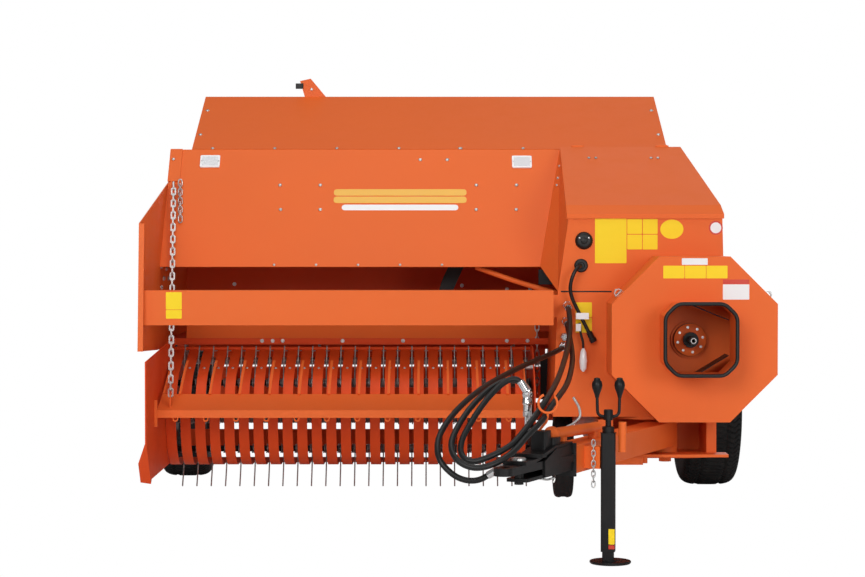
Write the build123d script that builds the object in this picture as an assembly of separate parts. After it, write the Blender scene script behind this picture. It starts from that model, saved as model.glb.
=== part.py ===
"""Square baler, parked on its two wheels and its jack.

Lengths are millimetres. X runs to the machine's left, Y to its rear and Z up. The floor is Z = 0,
and the origin is under the middle of the whole machine.
"""

import math
import os

from build123d import *

# Clearances
fit = 0.05  # radial, for a shaft that turns in its bore
seat = 0.3  # between a sliding shoe and what carries it
free = 5.0  # between pieces that move past each other
sheet = 4.0  # ordinary sheet metal
plate = 12.0  # brackets and gussets

# Main wheels
left_tyre_dia = 760.0
left_tyre_width = 264.0
left_wheel_x = 1260.5
left_wheel_y = 590.0
right_tyre_dia = 700.0
right_tyre_width = 240.0
right_wheel_x = -1272.5
right_wheel_y = 970.0
rim_dia = 389.0
rim_wall = 6.0
stub_dia = 60.0
hub_dia = 130.0

# Frame rails
rail_left_x = (1060.0, 1100.0)
rail_right_x = (620.0, 680.0)
rail_front_y = -1000.0
rail_rear_y = 1060.0
rail_bottom_z = 300.0
rail_top_z = 445.0
member_y = (-760.0, 100.0, 1000.0)
member_width = 60.0
axle_beam = 80.0

# Bale chamber
chamber_centre_x = 800.0
chamber_width = 460.0
chamber_height = 360.0
chamber_floor_z = 660.0
chamber_front_y = -590.0
chamber_rear_y = 2000.0
chamber_wall = 8.0
roof_rear_y = 1100.0
feed_y = (-250.0, 250.0)
rib_depth = 30.0
spring_turns = 6
spring_pitch = 23.0
rib_width = 50.0
rear_rib_y = chamber_rear_y - 190.0
screw_y = rear_rib_y + rib_width / 2

# Feeder housing, on the machine's right
feeder_right_x = -1200.0
feeder_floor_z = 750.0
feeder_front_y = -450.0
feeder_rear_y = 276.0
feeder_apron = 26.0

# Front panel and top hood
panel_top = (-300.0, 1572.0)
panel_bottom = (-700.0, 1066.0)
panel_top_x = 503.0
panel_bottom_x = 397.0
hood_top = (276.0, 1842.0)
hood_x = (-1110.0, 975.0)
hood_back_bottom_z = 1100.0
hood_lap = 5.0
stay_x = (-671.0, -649.0, -621.0, -551.0)

# End plate
end_plate_wall = 5.0
end_flange = 21.0
end_outline = (
    (-1350.0, 740.0),
    (-1300.0, 1240.0),
    (-370.0, 1428.0),
    (-260.0, 1572.0),
    (276.0, 1572.0),
    (276.0, 700.0),
    (-800.0, 718.0),
)

# Cross beam at the front
beam_y = (-1300.0, -1200.0)
beam_z = (841.0, 977.0)
beam_left_x = 420.0

# Gearbox hood and lid
hood_front_y = -1000.0
hood_bottom_z = 457.0
hood_fold_z = 966.0
hood_lip_z = 1270.0
hood_foot_x = 436.0
hood_fold_x = 455.0
hood_lip_x = (499.0, 1122.0)
hood_side_x = (1100.0, 1130.0)
hood_back_x = 1112.0
lid_crease = (-950.0, 1309.0)
lid_hinge = (-310.0, 1584.0)
lid_pin_dia = 8.0
lid_knuckle_x = (580.0, 950.0)
lid_x_top = (503.0, 1030.0)
lid_x_bottom = (490.0, 1122.0)
lid_open_deg = 70.0

# Power input, flywheel and guard
shaft_x = 980.0
shaft_z = 775.0
input_dia = 35.0
input_nose_y = -1216.0
flange_dia = 132.0
flange_front_y = -1100.0
flywheel_dia = 560.0
flywheel_y = (-1085.0, -1035.0)
journal_dia = 50.0
guard_centre = (980.0, 783.0)
guard_room = 47.5  # from the flywheel's rim to the guard's flats
guard_flats = flywheel_dia + 2 * guard_room
guard_side = 280.0
guard_front_y = -1254.0
collar_width = 280.0
collar_cut = 48.0
collar_front_y = -1440.0
rim_strip = 10.0

# Gearbox
gearbox_x = (860.0, 1090.0)
gearbox_y = (-900.0, -625.0)
gearbox_z = (600.0, 950.0)
gearbox_nose_dia = 120.0

# Drawbar, drawn straight ahead from its pivot and then swung
pivot_x = 900.0
pivot_y = -920.0
drawbar_rest_deg = 24.8
drawbar_swing_deg = 24.8
drawbar_width = 100.0
drawbar_z = (335.0, 435.0)
drawbar_length = 1157.0
pivot_pin_dia = 50.0
pivot_plate = 12.0
hitch_tip = 1737.06
hitch_nose = 34.0
hitch_bore_dia = 33.0
hitch_bore_at = 1690.0
hitch_plate = 15.0

# Jack, beside the drawbar
jack_u = (140.0, -1037.0)
jack_tube = 60.0
jack_leg = 48.0
jack_bottom_z = 44.0
jack_top_z = 477.0
jack_foot_dia = 151.0
jack_travel = 20.0

# Pickup
reel_y = -600.0
reel_z = 428.0
tip_radius = 300.0
band_radius = 207.0
band_width = 42.0
band_wall = 3.0
band_top = (-456.0, 706.0)
band_tail_y = -325.0
tine_pitch = 60.6
tine_count = 25
first_tine_x = -1112.0
tine_dia = 6.0
bar_radius = 125.0
bar_dia = 26.0
bar_count = 4
pickup_pivot = (-215.0, 640.0)
pickup_shaft_dia = 30.0
reel_shaft_dia = 40.0
pickup_drop_deg = 10.0
pickup_right_x = -1170.0
pickup_left_x = 372.0
side_wall = 5.0

# Gauge wheel
gauge_x = 500.0
gauge_y = -600.0
gauge_z = 260.0
gauge_dia = 360.0
gauge_width = 80.0

# Windguard
guard_lip = (-1150.0, 493.0)
guard_rear = (-980.0, 544.0)
guard_x = (-1155.0, 330.0)
guard_pivot = (-700.0, 640.0)
windguard_lift_deg = 25.0

# Plunger
plunger_face_y = -262.0
plunger_length = 300.0
plunger_stroke = 540.0

# Packer fork
packer_pivot = (250.0, 1340.0)
packer_tip = (-30.0, 830.0)
packer_shaft_dia = 40.0
packer_y = (-180.0, 60.0)
finger_wall = 14.0

# Needles
needle_pivot = (700.0, 840.0)
needle_radius = 350.0
needle_depth = 26.0
needle_width = 12.0
needle_x = (700.0, 900.0)
needle_tip_deg = 36.0
needle_root_deg = 130.0
needle_swing_deg = 75.0
yoke_x = (515.0, 1085.0)

# Bale chute
chute_hinge = (1990.0, 660.0)
chute_rear_y = 2500.0
chute_fold_deg = 75.0

# Twine box
twine_hinge = (541.0, 1238.0)
twine_open_deg = 95.0

# Windguard chain
link_wire = 6.0
link_width = 22.0
chain_peg = (-1169.0, -470.0, 1417.0)
chain_peg_dia = 8.0
chain_ear = (-1106.0, -1108.0, 546.0)
chain_count = 34


def block(x, y, z):
    """A box from its low and high side along each axis."""
    size = Box(x[1] - x[0], y[1] - y[0], z[1] - z[0])
    return Pos((x[0] + x[1]) / 2, (y[0] + y[1]) / 2, (z[0] + z[1]) / 2) * size


def along_x(points, x0, x1):
    """A closed (y, z) outline pushed from x0 to x1."""
    return extrude(Plane.YZ.offset(x0) * make_face(Polyline(*points, close=True)), x1 - x0)


def along_y(points, y0, y1):
    """A closed (x, z) outline pushed from y0 to y1."""
    return extrude(Plane.XZ.offset(-y1) * make_face(Polyline(*points, close=True)), y1 - y0)


def along_z(points, z0, z1):
    """A closed (x, y) outline pushed from z0 to z1."""
    return extrude(Plane.XY.offset(z0) * make_face(Polyline(*points, close=True)), z1 - z0)


def rod(a, b, dia):
    """A round bar between two points."""
    start = Vector(*a)
    run = Vector(*b) - start
    return extrude(Plane(start, z_dir=run) * Circle(dia / 2), run.length)


def skin(corners, push):
    """A flat sheet with these corners, given its thickness by a push."""
    face = make_face(Polyline(*corners, close=True))
    return extrude(face, Vector(*push).length, dir=push)


def strip(points, wall):
    """The closed outline of a sheet laid on the left of an open line, with mitred folds."""
    edges = [(b[0] - a[0], b[1] - a[1]) for a, b in zip(points, points[1:])]
    normals = [(-dy / math.hypot(dx, dy), dx / math.hypot(dx, dy)) for dx, dy in edges]
    laid = []
    for i, (px, py) in enumerate(points):
        before = normals[max(i - 1, 0)]
        after = normals[min(i, len(normals) - 1)]
        grow = wall / (1 + before[0] * after[0] + before[1] * after[1])
        laid.append((px + (before[0] + after[0]) * grow, py + (before[1] + after[1]) * grow))
    return list(points) + laid[::-1]


def polar(centre, radius, degrees):
    """A point on a circle in the (y, z) plane, measured from the rear, upwards."""
    turn = math.radians(degrees)
    return (centre[0] + radius * math.cos(turn), centre[1] + radius * math.sin(turn))


def octagon(centre, width, side):
    """An eight-sided outline with equal flats and a chosen top side."""
    half = width / 2
    reach = side / 2
    signs = ((-1, 1), (1, 1), (1, -1), (-1, -1))
    points = []
    for index, (sx, sz) in enumerate(signs):
        upright = (centre[0] + sx * half, centre[1] + sz * reach)
        level = (centre[0] + sx * reach, centre[1] + sz * half)
        points += [upright, level] if index % 2 == 0 else [level, upright]
    return points


def save(name, *solids):
    """Write one node, its solids side by side."""
    shape = solids[0] if len(solids) == 1 else Compound(children=list(solids))
    export_step(shape, f"parts/{name}.step")


# Shared places, worked out from the sizes above
chamber_x = (chamber_centre_x - chamber_width / 2, chamber_centre_x + chamber_width / 2)
wall_x = (chamber_x[0] - chamber_wall, chamber_x[1] + chamber_wall)
roof_z = chamber_floor_z + chamber_height
underside_z = chamber_floor_z - chamber_wall
drawbar_place = Pos(pivot_x, pivot_y, 0) * Rot(0, 0, -drawbar_rest_deg)
pickup_inner_x = (pickup_right_x + side_wall, pickup_left_x)


def tyre(dia, width, centre):
    """A tyre's round section, turned about its axle."""
    bead = rim_dia / 2
    crown = dia / 2
    section = [
        (-0.36 * width, bead),
        (-0.47 * width, bead + 0.30 * (crown - bead)),
        (-0.50 * width, bead + 0.55 * (crown - bead)),
        (-0.46 * width, crown - 18),
        (-0.30 * width, crown - 3),
        (0, crown),
    ]
    outline = section + [(-x, r) for x, r in section[-2::-1]]
    face = Plane.XY * make_face(Polyline(*outline, close=True))
    return Pos(*centre) * revolve(face, Axis.X)


def rim(width, centre, outward):
    """A pressed wheel: barrel with a drop centre, disc and hub, on the side it is bolted from."""
    bead = rim_dia / 2 - seat
    edge = 0.40 * width
    left = [(-edge, bead), (-0.30 * width, bead), (-0.30 * width + 24, bead - 30)]
    line = left + [(-x, r) for x, r in left[::-1]]
    barrel = revolve(make_face(Polyline(*strip(line, -rim_wall), close=True)), Axis.X)
    turned = Rot(0, 90, 0)
    disc = Pos(outward * 0.18 * width, 0, 0) * turned * Cylinder(bead - 33, 8)
    hub = Pos(outward * 0.10 * width, 0, 0) * turned * Cylinder(hub_dia / 2, 0.42 * width)
    bore = Pos(outward * -0.2 * width, 0, 0) * turned * Cylinder(stub_dia / 2 + fit, 0.90 * width)
    return Pos(*centre) * (barrel + disc + hub - bore)


def main_wheels():
    """Both main wheels; each stands on the floor."""
    rows = (
        ("left", left_wheel_x, left_wheel_y, left_tyre_dia, left_tyre_width, 1),
        ("right", right_wheel_x, right_wheel_y, right_tyre_dia, right_tyre_width, -1),
    )
    for side, x, y, dia, width, outward in rows:
        centre = (x, y, dia / 2)
        save(f"tyre_{side}", tyre(dia, width, centre))
        save(f"rim_{side}", rim(width, centre, outward))


def frame():
    """Two rails, their cross members and the two plates that hold the drawbar's pin."""
    z = (rail_bottom_z, rail_top_z)
    rails = block(rail_left_x, (rail_front_y, rail_rear_y), z)
    rails += block(rail_right_x, (rail_front_y, rail_rear_y), z)
    for y in member_y:
        rails += block((rail_right_x[1], rail_left_x[0]), (y, y + member_width), z)
    plate_rear_y = member_y[0] + member_width / 2
    plan = [
        (rail_right_x[0], plate_rear_y),
        (rail_left_x[1], plate_rear_y),
        (rail_left_x[1], -960),
        (pivot_x + 90, -1000),
        (pivot_x - 110, -1000),
        (rail_right_x[0], -900),
    ]
    rails += along_z(plan, rail_bottom_z - pivot_plate, rail_bottom_z)
    rails += along_z(plan, rail_top_z, rail_top_z + pivot_plate)
    pin_z = (rail_bottom_z - pivot_plate - 20, rail_top_z + pivot_plate)
    rails += rod((pivot_x, pivot_y, pin_z[0]), (pivot_x, pivot_y, pin_z[1]), pivot_pin_dia)
    for y in (-560.0, 300.0, 1000.0):
        for x in ((590.0, rail_right_x[1]), (1020.0, rail_left_x[1])):
            rails += block(x, (y, y + 50), (rail_top_z, underside_z))
    save("main_frame", rails)


def axle():
    """A stub on the left rail, and a beam with a trailing arm for the right wheel."""
    half = axle_beam / 2
    left_z = left_tyre_dia / 2
    stub_end = left_wheel_x + 0.20 * left_tyre_width
    left_y = (left_wheel_y - half, left_wheel_y + half)
    left = block((rail_left_x[1], 1125.0), left_y, (left_z - half, left_z + half))
    left += rod((1120, left_wheel_y, left_z), (stub_end, left_wheel_y, left_z), stub_dia)
    right_z = right_tyre_dia / 2
    level = (right_z - half, right_z + half)
    right = block((-1110.0, rail_right_x[0]), left_y, level)
    right += block((-1110.0, -1050.0), (left_y[1], right_wheel_y + 45), level)
    end = right_wheel_x - 0.20 * right_tyre_width
    right += rod((-1100, right_wheel_y, right_z), (end, right_wheel_y, right_z), stub_dia)
    rear_y = feeder_rear_y
    gusset = [
        (left_y[1], level[1]),
        (left_y[0], level[1]),
        (rear_y, 600),
        (rear_y, feeder_floor_z - sheet),
        (rear_y + 60, feeder_floor_z - sheet),
    ]
    for x in (-1000.0, -400.0, 200.0):
        right += along_x(gusset, x, x + plate)
    save("axle", left, right)


def bale_chamber():
    """A rectangular tunnel with a feed opening, needle slots and outside ribs."""
    y = (chamber_front_y, chamber_rear_y)
    body = block(wall_x, y, (underside_z, roof_z + chamber_wall))
    body -= block(chamber_x, (y[0] - 1, y[1] + 1), (chamber_floor_z, roof_z))
    body -= block(chamber_x, (roof_rear_y, y[1] + 1), (roof_z - 1, roof_z + chamber_wall + 1))
    body -= block((wall_x[0] - 1, chamber_x[0] + 1), feed_y, (feeder_floor_z, roof_z - 10))
    for x in needle_x:
        slot = (x - needle_width / 2 - free, x + needle_width / 2 + free)
        body -= block(slot, (375.0, 450.0), (underside_z - 1, roof_z + chamber_wall + 1))
    sides = ((wall_x[0] - rib_depth, wall_x[0]), (wall_x[1], wall_x[1] + rib_depth))
    for x in sides:
        for rib_y in (roof_rear_y + 20, (roof_rear_y + rear_rib_y) / 2, rear_rib_y):
            body += block(x, (rib_y, rib_y + rib_width), (underside_z, roof_z + chamber_wall))
    for x0, x1 in ((wall_x[0] - 52, wall_x[0]), (wall_x[1], wall_x[1] + 52)):
        pivot = (needle_pivot[0], needle_pivot[1])
        body += rod((x0, *pivot), (x1, *pivot), 40)
    for x0, x1 in ((wall_x[0] - 28, wall_x[0]), (wall_x[1], wall_x[1] + 28)):
        body += rod((x0, *chute_hinge), (x1, *chute_hinge), 24)
    save("bale_chamber", body)


def tension_rails():
    """Two rails on the bale, squeezed by screws and springs through a cross bar."""
    rail_z = (roof_z - 2, roof_z + 40)
    rails = []
    for x in (chamber_x[0] + 50, chamber_x[1] - 50):
        rail = block((x - 30, x + 30), (roof_rear_y + 20, chamber_rear_y - 40), rail_z)
        rail += block((x - 6, x + 6), (roof_rear_y + 20, chamber_rear_y - 40), (rail_z[1], rail_z[1] + 40))
        rails.append(rail)
    top_z = rail_z[1] + 40
    bar = block((wall_x[0] - 60, wall_x[1] + 60), (screw_y - 30, screw_y + 30), (top_z, top_z + 50))
    low = block((wall_x[0] - 60, wall_x[1] + 60), (screw_y - 30, screw_y + 30), (underside_z - 60, underside_z))
    for x in (wall_x[0] - 45, wall_x[1] + 45):
        low += rod((x, screw_y, underside_z - 60), (x, screw_y, top_z + 300), 22)
        bar -= Pos(x, screw_y, top_z + 25) * Cylinder(11, 80)
        coil = [(8, top_z + 51)]
        for turn in range(spring_turns):
            base = top_z + 51 + turn * spring_pitch
            coil += [(27, base), (27, base + 0.6 * spring_pitch), (18, base + 0.8 * spring_pitch)]
        coil += [(8, coil[-1][1])]
        low += Pos(x, screw_y, 0) * revolve(Plane.XZ * make_face(Polyline(*coil, close=True)), Axis.Z)
        low += Pos(x, screw_y, coil[-1][1] + 6) * Cylinder(30, 12)
        low += rod((x, screw_y, top_z + 290), (x + 90, screw_y, top_z + 290), 16)
    save("tension_rails", rails[0] + rails[1] + bar + low)


def feeder():
    """The floor that carries crop across, its turned-down front and the back wall."""
    x = (feeder_right_x, wall_x[0])
    profile = strip(
        [
            (feeder_front_y, feeder_floor_z - feeder_apron),
            (feeder_front_y, feeder_floor_z),
            (feeder_rear_y - sheet, feeder_floor_z),
            (feeder_rear_y - sheet, hood_back_bottom_z),
        ],
        -sheet,
    )
    housing = along_x(profile, *x)
    housing += block(x, (-100.0, -40.0), (feeder_floor_z - sheet - 60, feeder_floor_z - sheet))
    save("feeder_housing", housing)


def end_plate():
    """The housing's outer side, with a narrow flange along its front edge."""
    side = along_x(end_outline, feeder_right_x - end_plate_wall, feeder_right_x)
    front = [end_outline[0], end_outline[1]]
    back = [(y + 8, z) for y, z in front[::-1]]
    side += along_x(front + back, feeder_right_x - end_plate_wall, feeder_right_x + end_flange - end_plate_wall)
    save("end_plate", side)


def front_panel():
    """The slanting panel over the feeder, cut to meet the gearbox hood's leaning wall."""
    (y0, z0), (y1, z1) = panel_top, panel_bottom
    corners = [
        (feeder_right_x, y0, z0),
        (panel_top_x, y0, z0),
        (panel_bottom_x, y1, z1),
        (feeder_right_x, y1, z1),
    ]
    run = math.hypot(y1 - y0, z1 - z0)
    push = (0, -(z1 - z0) / run * sheet, (y1 - y0) / run * sheet)
    panel = skin(corners, push)
    panel += block((feeder_right_x, panel_bottom_x), (y1, y1 + 30), (z1 - sheet, z1))
    px, py, pz = chain_peg
    slope = (y1 - y0) / (z1 - z0)
    root = [(y0 + (z - z0) * slope + 1, z) for z in (pz + 12, pz - 12)]
    panel += along_x([(py - 8, pz - 12), (py - 8, pz + 12)] + root, px - 12, px - 6)
    panel += rod((px - 7, py, pz), (px + 9, py, pz), chain_peg_dia)
    save("front_panel", panel)


def top_hood():
    """The sloping roof above the panel, its back and its two sides."""
    rise = (hood_top[1] - panel_top[1]) / (hood_top[0] - panel_top[0])
    start = (panel_top[0] + hood_lap, panel_top[1] + hood_lap * rise)
    slope = [start, hood_top, (hood_top[0], hood_back_bottom_z)]
    shell = along_x(strip(slope, -sheet), *hood_x)
    side = [
        start,
        hood_top,
        (hood_top[0], hood_back_bottom_z),
        (start[0], hood_back_bottom_z),
    ]
    shell += along_x(side, hood_x[1] - sheet, hood_x[1])
    low_side = [(y, max(z, 1420.0)) for y, z in side]
    shell += along_x(low_side, hood_x[0], hood_x[0] + sheet)
    ledge_z = panel_top[1]
    shell += block((feeder_right_x, hood_x[0]), (start[0], hood_top[0]), (ledge_z - sheet, ledge_z))
    save("top_hood", shell)


def hood_stay():
    """A folded bracket on the roof's back, standing above its rear edge."""
    back_y, edge_z = hood_top
    low_z = edge_z - 62
    left = [(stay_x[0], edge_z + 73), (stay_x[1], edge_z), (stay_x[1], low_z)]
    right = [(stay_x[3], low_z), (stay_x[3], edge_z), (stay_x[2], edge_z + 84)]
    stay = along_y(left + right, back_y, back_y + 5)
    fold = left[:2] + [(x + 5, z) for x, z in left[1::-1]]
    stay += along_y(fold, back_y, back_y + 34)
    save("hood_stay", stay)


def hood_wall_x(z):
    """The lower left wall's outer face at a height."""
    return hood_foot_x + (hood_fold_x - hood_foot_x) * (z - hood_bottom_z) / (hood_fold_z - hood_bottom_z)


def cross_beam():
    """The box beam across the front, with its bracket to the gearbox hood's side."""
    z0, z1 = beam_z[0] + 20, beam_z[1] - 25
    beam = block((feeder_right_x, beam_left_x), beam_y, beam_z)
    beam += block((beam_left_x - 40, beam_left_x), (beam_y[1], hood_front_y + 60), (z0, z1))
    foot = [(beam_left_x - 40, z0), (hood_wall_x(z0), z0), (hood_wall_x(z1), z1), (beam_left_x - 40, z1)]
    beam += along_y(foot, hood_front_y, hood_front_y + 60)
    save("cross_beam", beam)


def gearbox_hood():
    """The folded housing round the gearbox: front wall, leaning sides, hinge bar and an open top."""
    y0, y1 = hood_front_y, panel_top[0]
    outline = [
        (hood_foot_x, hood_bottom_z),
        (hood_side_x[0], hood_bottom_z),
        (hood_side_x[1], hood_fold_z),
        (hood_lip_x[1], hood_lip_z),
        (hood_lip_x[0], hood_lip_z),
        (hood_fold_x, hood_fold_z),
    ]
    front = along_y(outline, y0, y0 + sheet)
    front -= Pos(shaft_x, y0, shaft_z) * Rot(90, 0, 0) * Cylinder(gearbox_nose_dia / 2 + 10, 20)
    inward = (sheet, 0, 0)
    top_left = (panel_top_x, y1, panel_top[1])
    corner = (hood_fold_x, y0, hood_fold_z)
    low = (panel_bottom_x, panel_bottom[0], panel_bottom[1])
    left = skin([top_left, low, corner], inward)
    left += skin([top_left, corner, (hood_lip_x[0], y0, hood_lip_z)], inward)
    wall = [(hood_wall_x(z), z) for z in (hood_bottom_z, hood_fold_z)]
    wall += [(x + sheet, z) for x, z in wall[::-1]]
    left += along_y(wall, y0, feeder_front_y - free)
    outward = (-sheet, 0, 0)
    top_right = (lid_x_top[1], y1, panel_top[1])
    front_right = (hood_side_x[1], y0, hood_fold_z)
    back_right = (hood_back_x, y1, hood_fold_z)
    low_right = (hood_side_x[0], y0, hood_bottom_z)
    back_low = (hood_back_x, y1, hood_bottom_z)
    right = skin([top_right, (hood_lip_x[1], y0, hood_lip_z), front_right], outward)
    right += skin([top_right, front_right, back_right], outward)
    right += skin([back_right, front_right, low_right], outward)
    right += skin([back_right, low_right, back_low], outward)
    hy, hz = lid_hinge
    bar = block((panel_top_x + 1, lid_x_top[1] - 1), (hy - 6, hy + 6), (hz - 26, hz - 12))
    for x in lid_knuckle_x:
        for ear_x in (x - 29, x + 24):
            bar += block((ear_x, ear_x + 5), (hy - 6, hy + 6), (hz - 14, hz + 5))
        bar += rod((x - 28, hy, hz), (x + 28, hy, hz), lid_pin_dia)
    save("gearbox_hood", front + left + right + bar)


def gearbox_lid():
    """The lid over the gearbox: knuckles on its upper edge, a crease and a folded lip."""
    hy, hz = lid_hinge
    edge_y, edge_z = hy - 12, hz - 4
    crease = (lid_crease[0], lid_crease[1] + 6.0)
    lip = (hood_front_y - 8.0, hood_lip_z + 8.0)
    drop = (0, 0, 3.0)
    corners = [
        (lid_x_top[0], edge_y, edge_z),
        (lid_x_top[1], edge_y, edge_z),
        (lid_x_bottom[1], *crease),
        (lid_x_bottom[0], *crease),
    ]
    lid = skin(corners, drop)
    front = [
        (lid_x_bottom[0], *crease),
        (lid_x_bottom[1], *crease),
        (lid_x_bottom[1] + 6, *lip),
        (lid_x_bottom[0], *lip),
    ]
    lid += skin(front, drop)
    for x in lid_knuckle_x:
        lid += block((x - 23, x + 23), (edge_y - 1, hy), (edge_z, hz))
        lid += rod((x - 23, hy, hz), (x + 23, hy, hz), lid_pin_dia + 8)
        lid -= rod((x - 24, hy, hz), (x + 24, hy, hz), lid_pin_dia + 2 * fit)
    save("gearbox_lid", lid)


def gearbox():
    """The closed gearbox as one block with its bearing nose, on a pedestal."""
    box = block(gearbox_x, gearbox_y, gearbox_z)
    box = chamfer(box.edges(), 25)
    base = (gearbox_x[0] + 40, gearbox_x[1] - 40)
    box += block(base, (gearbox_y[0] + 40, gearbox_y[1] - 20), (rail_top_z + pivot_plate, gearbox_z[0] + 5))
    nose = Pos(shaft_x, (gearbox_y[0] - 1008) / 2, shaft_z)
    box += nose * Rot(90, 0, 0) * Cylinder(gearbox_nose_dia / 2, 1008 + gearbox_y[0])
    bore = Pos(shaft_x, -960, shaft_z) * Rot(90, 0, 0) * Cylinder(journal_dia / 2 + fit, 120)
    save("gearbox", box - bore)


def flywheel_guard():
    """The eight-sided guard round the flywheel, and its square collar with cut corners."""
    outer = octagon(guard_centre, guard_flats, guard_side)
    inner = octagon(guard_centre, guard_flats - 2 * sheet, guard_side)
    guard = along_y(outer, guard_front_y, hood_front_y)
    guard -= along_y(inner, guard_front_y + sheet, hood_front_y + 1)
    flat = collar_width - 2 * collar_cut
    centre = (shaft_x + 2, 790.0)
    collar_out = octagon(centre, collar_width, flat)
    collar_in = octagon(centre, collar_width - 2 * sheet, flat)
    guard += along_y(collar_out, collar_front_y, guard_front_y)
    guard -= along_y(collar_in, collar_front_y - 1, guard_front_y + sheet + 1)
    save("flywheel_guard", guard)
    edge = along_y(
        octagon(centre, collar_width + 6, flat + 2), collar_front_y - rim_strip, collar_front_y
    )
    edge -= along_y(
        octagon(centre, collar_width - 14, flat - 4), collar_front_y - rim_strip - 1, collar_front_y + 1
    )
    save("guard_rim", edge)


def flywheel():
    """The heavy flywheel, its journal, and the flange with the splined input stub."""
    y0, y1 = flywheel_y
    middle = (y0 + y1) / 2
    disc = Pos(shaft_x, middle, shaft_z) * Rot(90, 0, 0) * Cylinder(flywheel_dia / 2, y1 - y0)
    for y in (y0, y1):
        well = Cylinder(flywheel_dia / 2 - 50, 24) - Cylinder(75, 24)
        disc -= Pos(shaft_x, y, shaft_z) * Rot(90, 0, 0) * well
    disc += rod((shaft_x, y1 - 1, shaft_z), (shaft_x, -910, shaft_z), journal_dia)
    save("flywheel", disc)
    stub = rod((shaft_x, flange_front_y + 15, shaft_z), (shaft_x, flange_front_y, shaft_z), flange_dia)
    stub += rod((shaft_x, flange_front_y + 1, shaft_z), (shaft_x, flange_front_y - 30, shaft_z), 62)
    stub += rod((shaft_x, flange_front_y - 29, shaft_z), (shaft_x, input_nose_y, shaft_z), input_dia)
    for turn in range(6):
        groove = Pos(0, 0, input_dia / 2) * Box(9.4, 62, 6)
        stub -= Pos(shaft_x, input_nose_y + 31, shaft_z) * Rot(0, turn * 60, 0) * groove
    save("input_shaft", stub)


def fittings():
    """Hose unions on the hood's lower wall, and the cap and grommet above them."""
    rows = ((491.0, 911.0), (486.0, 846.0), (482.0, 782.0), (476.0, 745.0))
    unions = []
    for x, z in rows:
        union = rod((x, hood_front_y, z), (x, hood_front_y - 22, z), 34)
        unions.append(union + rod((x, hood_front_y - 21, z), (x, hood_front_y - 50, z), 24))
    save("hose_unions", *unions)
    cap = rod((556, hood_front_y, 1173), (556, hood_front_y - 18, 1173), 72)
    grommet = rod((545, hood_front_y, 1072), (545, hood_front_y - 10, 1072), 54)
    save("hood_caps", cap, grommet)


def drawbar():
    """The box beam from its pivot tube to the hitch's end plate."""
    half = drawbar_width / 2
    z0, z1 = drawbar_z
    tube_z = (rail_bottom_z + free, rail_top_z - free)
    beam = block((-half, half), (-drawbar_length, 0), drawbar_z)
    beam += rod((0, 0, tube_z[0]), (0, 0, tube_z[1]), pivot_pin_dia + 50)
    beam -= rod((0, 0, tube_z[0] - 1), (0, 0, tube_z[1] + 1), pivot_pin_dia + 2 * fit)
    lug_x = jack_u[0] - jack_tube / 2
    beam += block((half, lug_x), (jack_u[1] - 30, jack_u[1] + 30), (z0 + 10, z1 - 10))
    save("drawbar", drawbar_place * beam)


def hitch():
    """The black clevis: end plate, two tongue plates, their pin and the eye at the tip."""
    z0, z1 = drawbar_z
    end = -drawbar_length
    part = block((-55, 55), (end - 15, end), (z0 - 10, z1 + 10))
    upper = strip([(end - 15, z1), (-1560, 415), (hitch_nose - hitch_tip, 415)], hitch_plate)
    part += along_x(upper, -45, 45)
    part += Pos(0, hitch_nose - hitch_tip, 415 - hitch_plate / 2) * Cylinder(hitch_nose, hitch_plate)
    part += block((-45, 45), (-1610, end - 15), (z0 + 20, z0 + 20 + hitch_plate))
    part += rod((0, -1568, z0 + 5), (0, -1568, 430), 32)
    part += block((-28, 28), (-1430, -1370), (420, 470))
    part -= Pos(0, -hitch_bore_at, 405) * Cylinder(hitch_bore_dia / 2, 60)
    wire = [(41, -3), (41, 3), (38, 6), (32, 6), (29, 3), (29, -3), (32, -6), (38, -6)]
    ring = Pos(19, -1346, 603) * revolve(Plane.XY * make_face(Polyline(*[(b, a) for a, b in wire], close=True)), Axis.X)
    stem = rod((5, -1400, 470), (5, -1400, 482), 12) + rod((5, -1400, 477), (12, -1380, 530), 12) + rod((12, -1380, 530), (19, -1346, 570), 12)
    save("hitch", drawbar_place * part)
    save("hose_ring", drawbar_place * (ring + stem))


def jack():
    """The jack's tube with its crank on top, and the sliding leg with its foot."""
    x, y = jack_u
    half = jack_tube / 2
    tube = block((x - half, x + half), (y - half, y + half), (jack_bottom_z, jack_top_z))
    hollow = jack_leg / 2 + seat
    tube -= block((x - hollow, x + hollow), (y - hollow, y + hollow), (jack_bottom_z - 1, jack_top_z - 20))
    tube += rod((x, y, jack_top_z - 1), (x, y, jack_top_z + 60), 34)
    tube += rod((x - 60, y, jack_top_z + 50), (x + 60, y, jack_top_z + 50), 14)
    for side in (-60, 60):
        tube += rod((x + side, y, jack_top_z + 44), (x + side, y, jack_top_z + 200), 22)
    save("jack_tube", drawbar_place * tube)
    half = jack_leg / 2
    leg = block((x - half, x + half), (y - half, y + half), (8, jack_top_z - 60))
    leg += Pos(x, y, 5) * Cylinder(jack_foot_dia / 2, 10)
    save("jack_leg", drawbar_place * leg)


def shield_outline():
    """The pickup's outer shield: a sloping top, an upright front and a flared skid."""
    return [
        (-1400, 702),
        (-640, 747),
        (-470, 722),
        (-440, 706),
        (-400, 690),
        (-165, 675),
        (-165, 590),
        (-330, 560),
        (-420, 300),
        (-560, 232),
        (-1240, 230),
        (-1290, 300),
        (-1340, 375),
        (-1400, 385),
    ]


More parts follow.
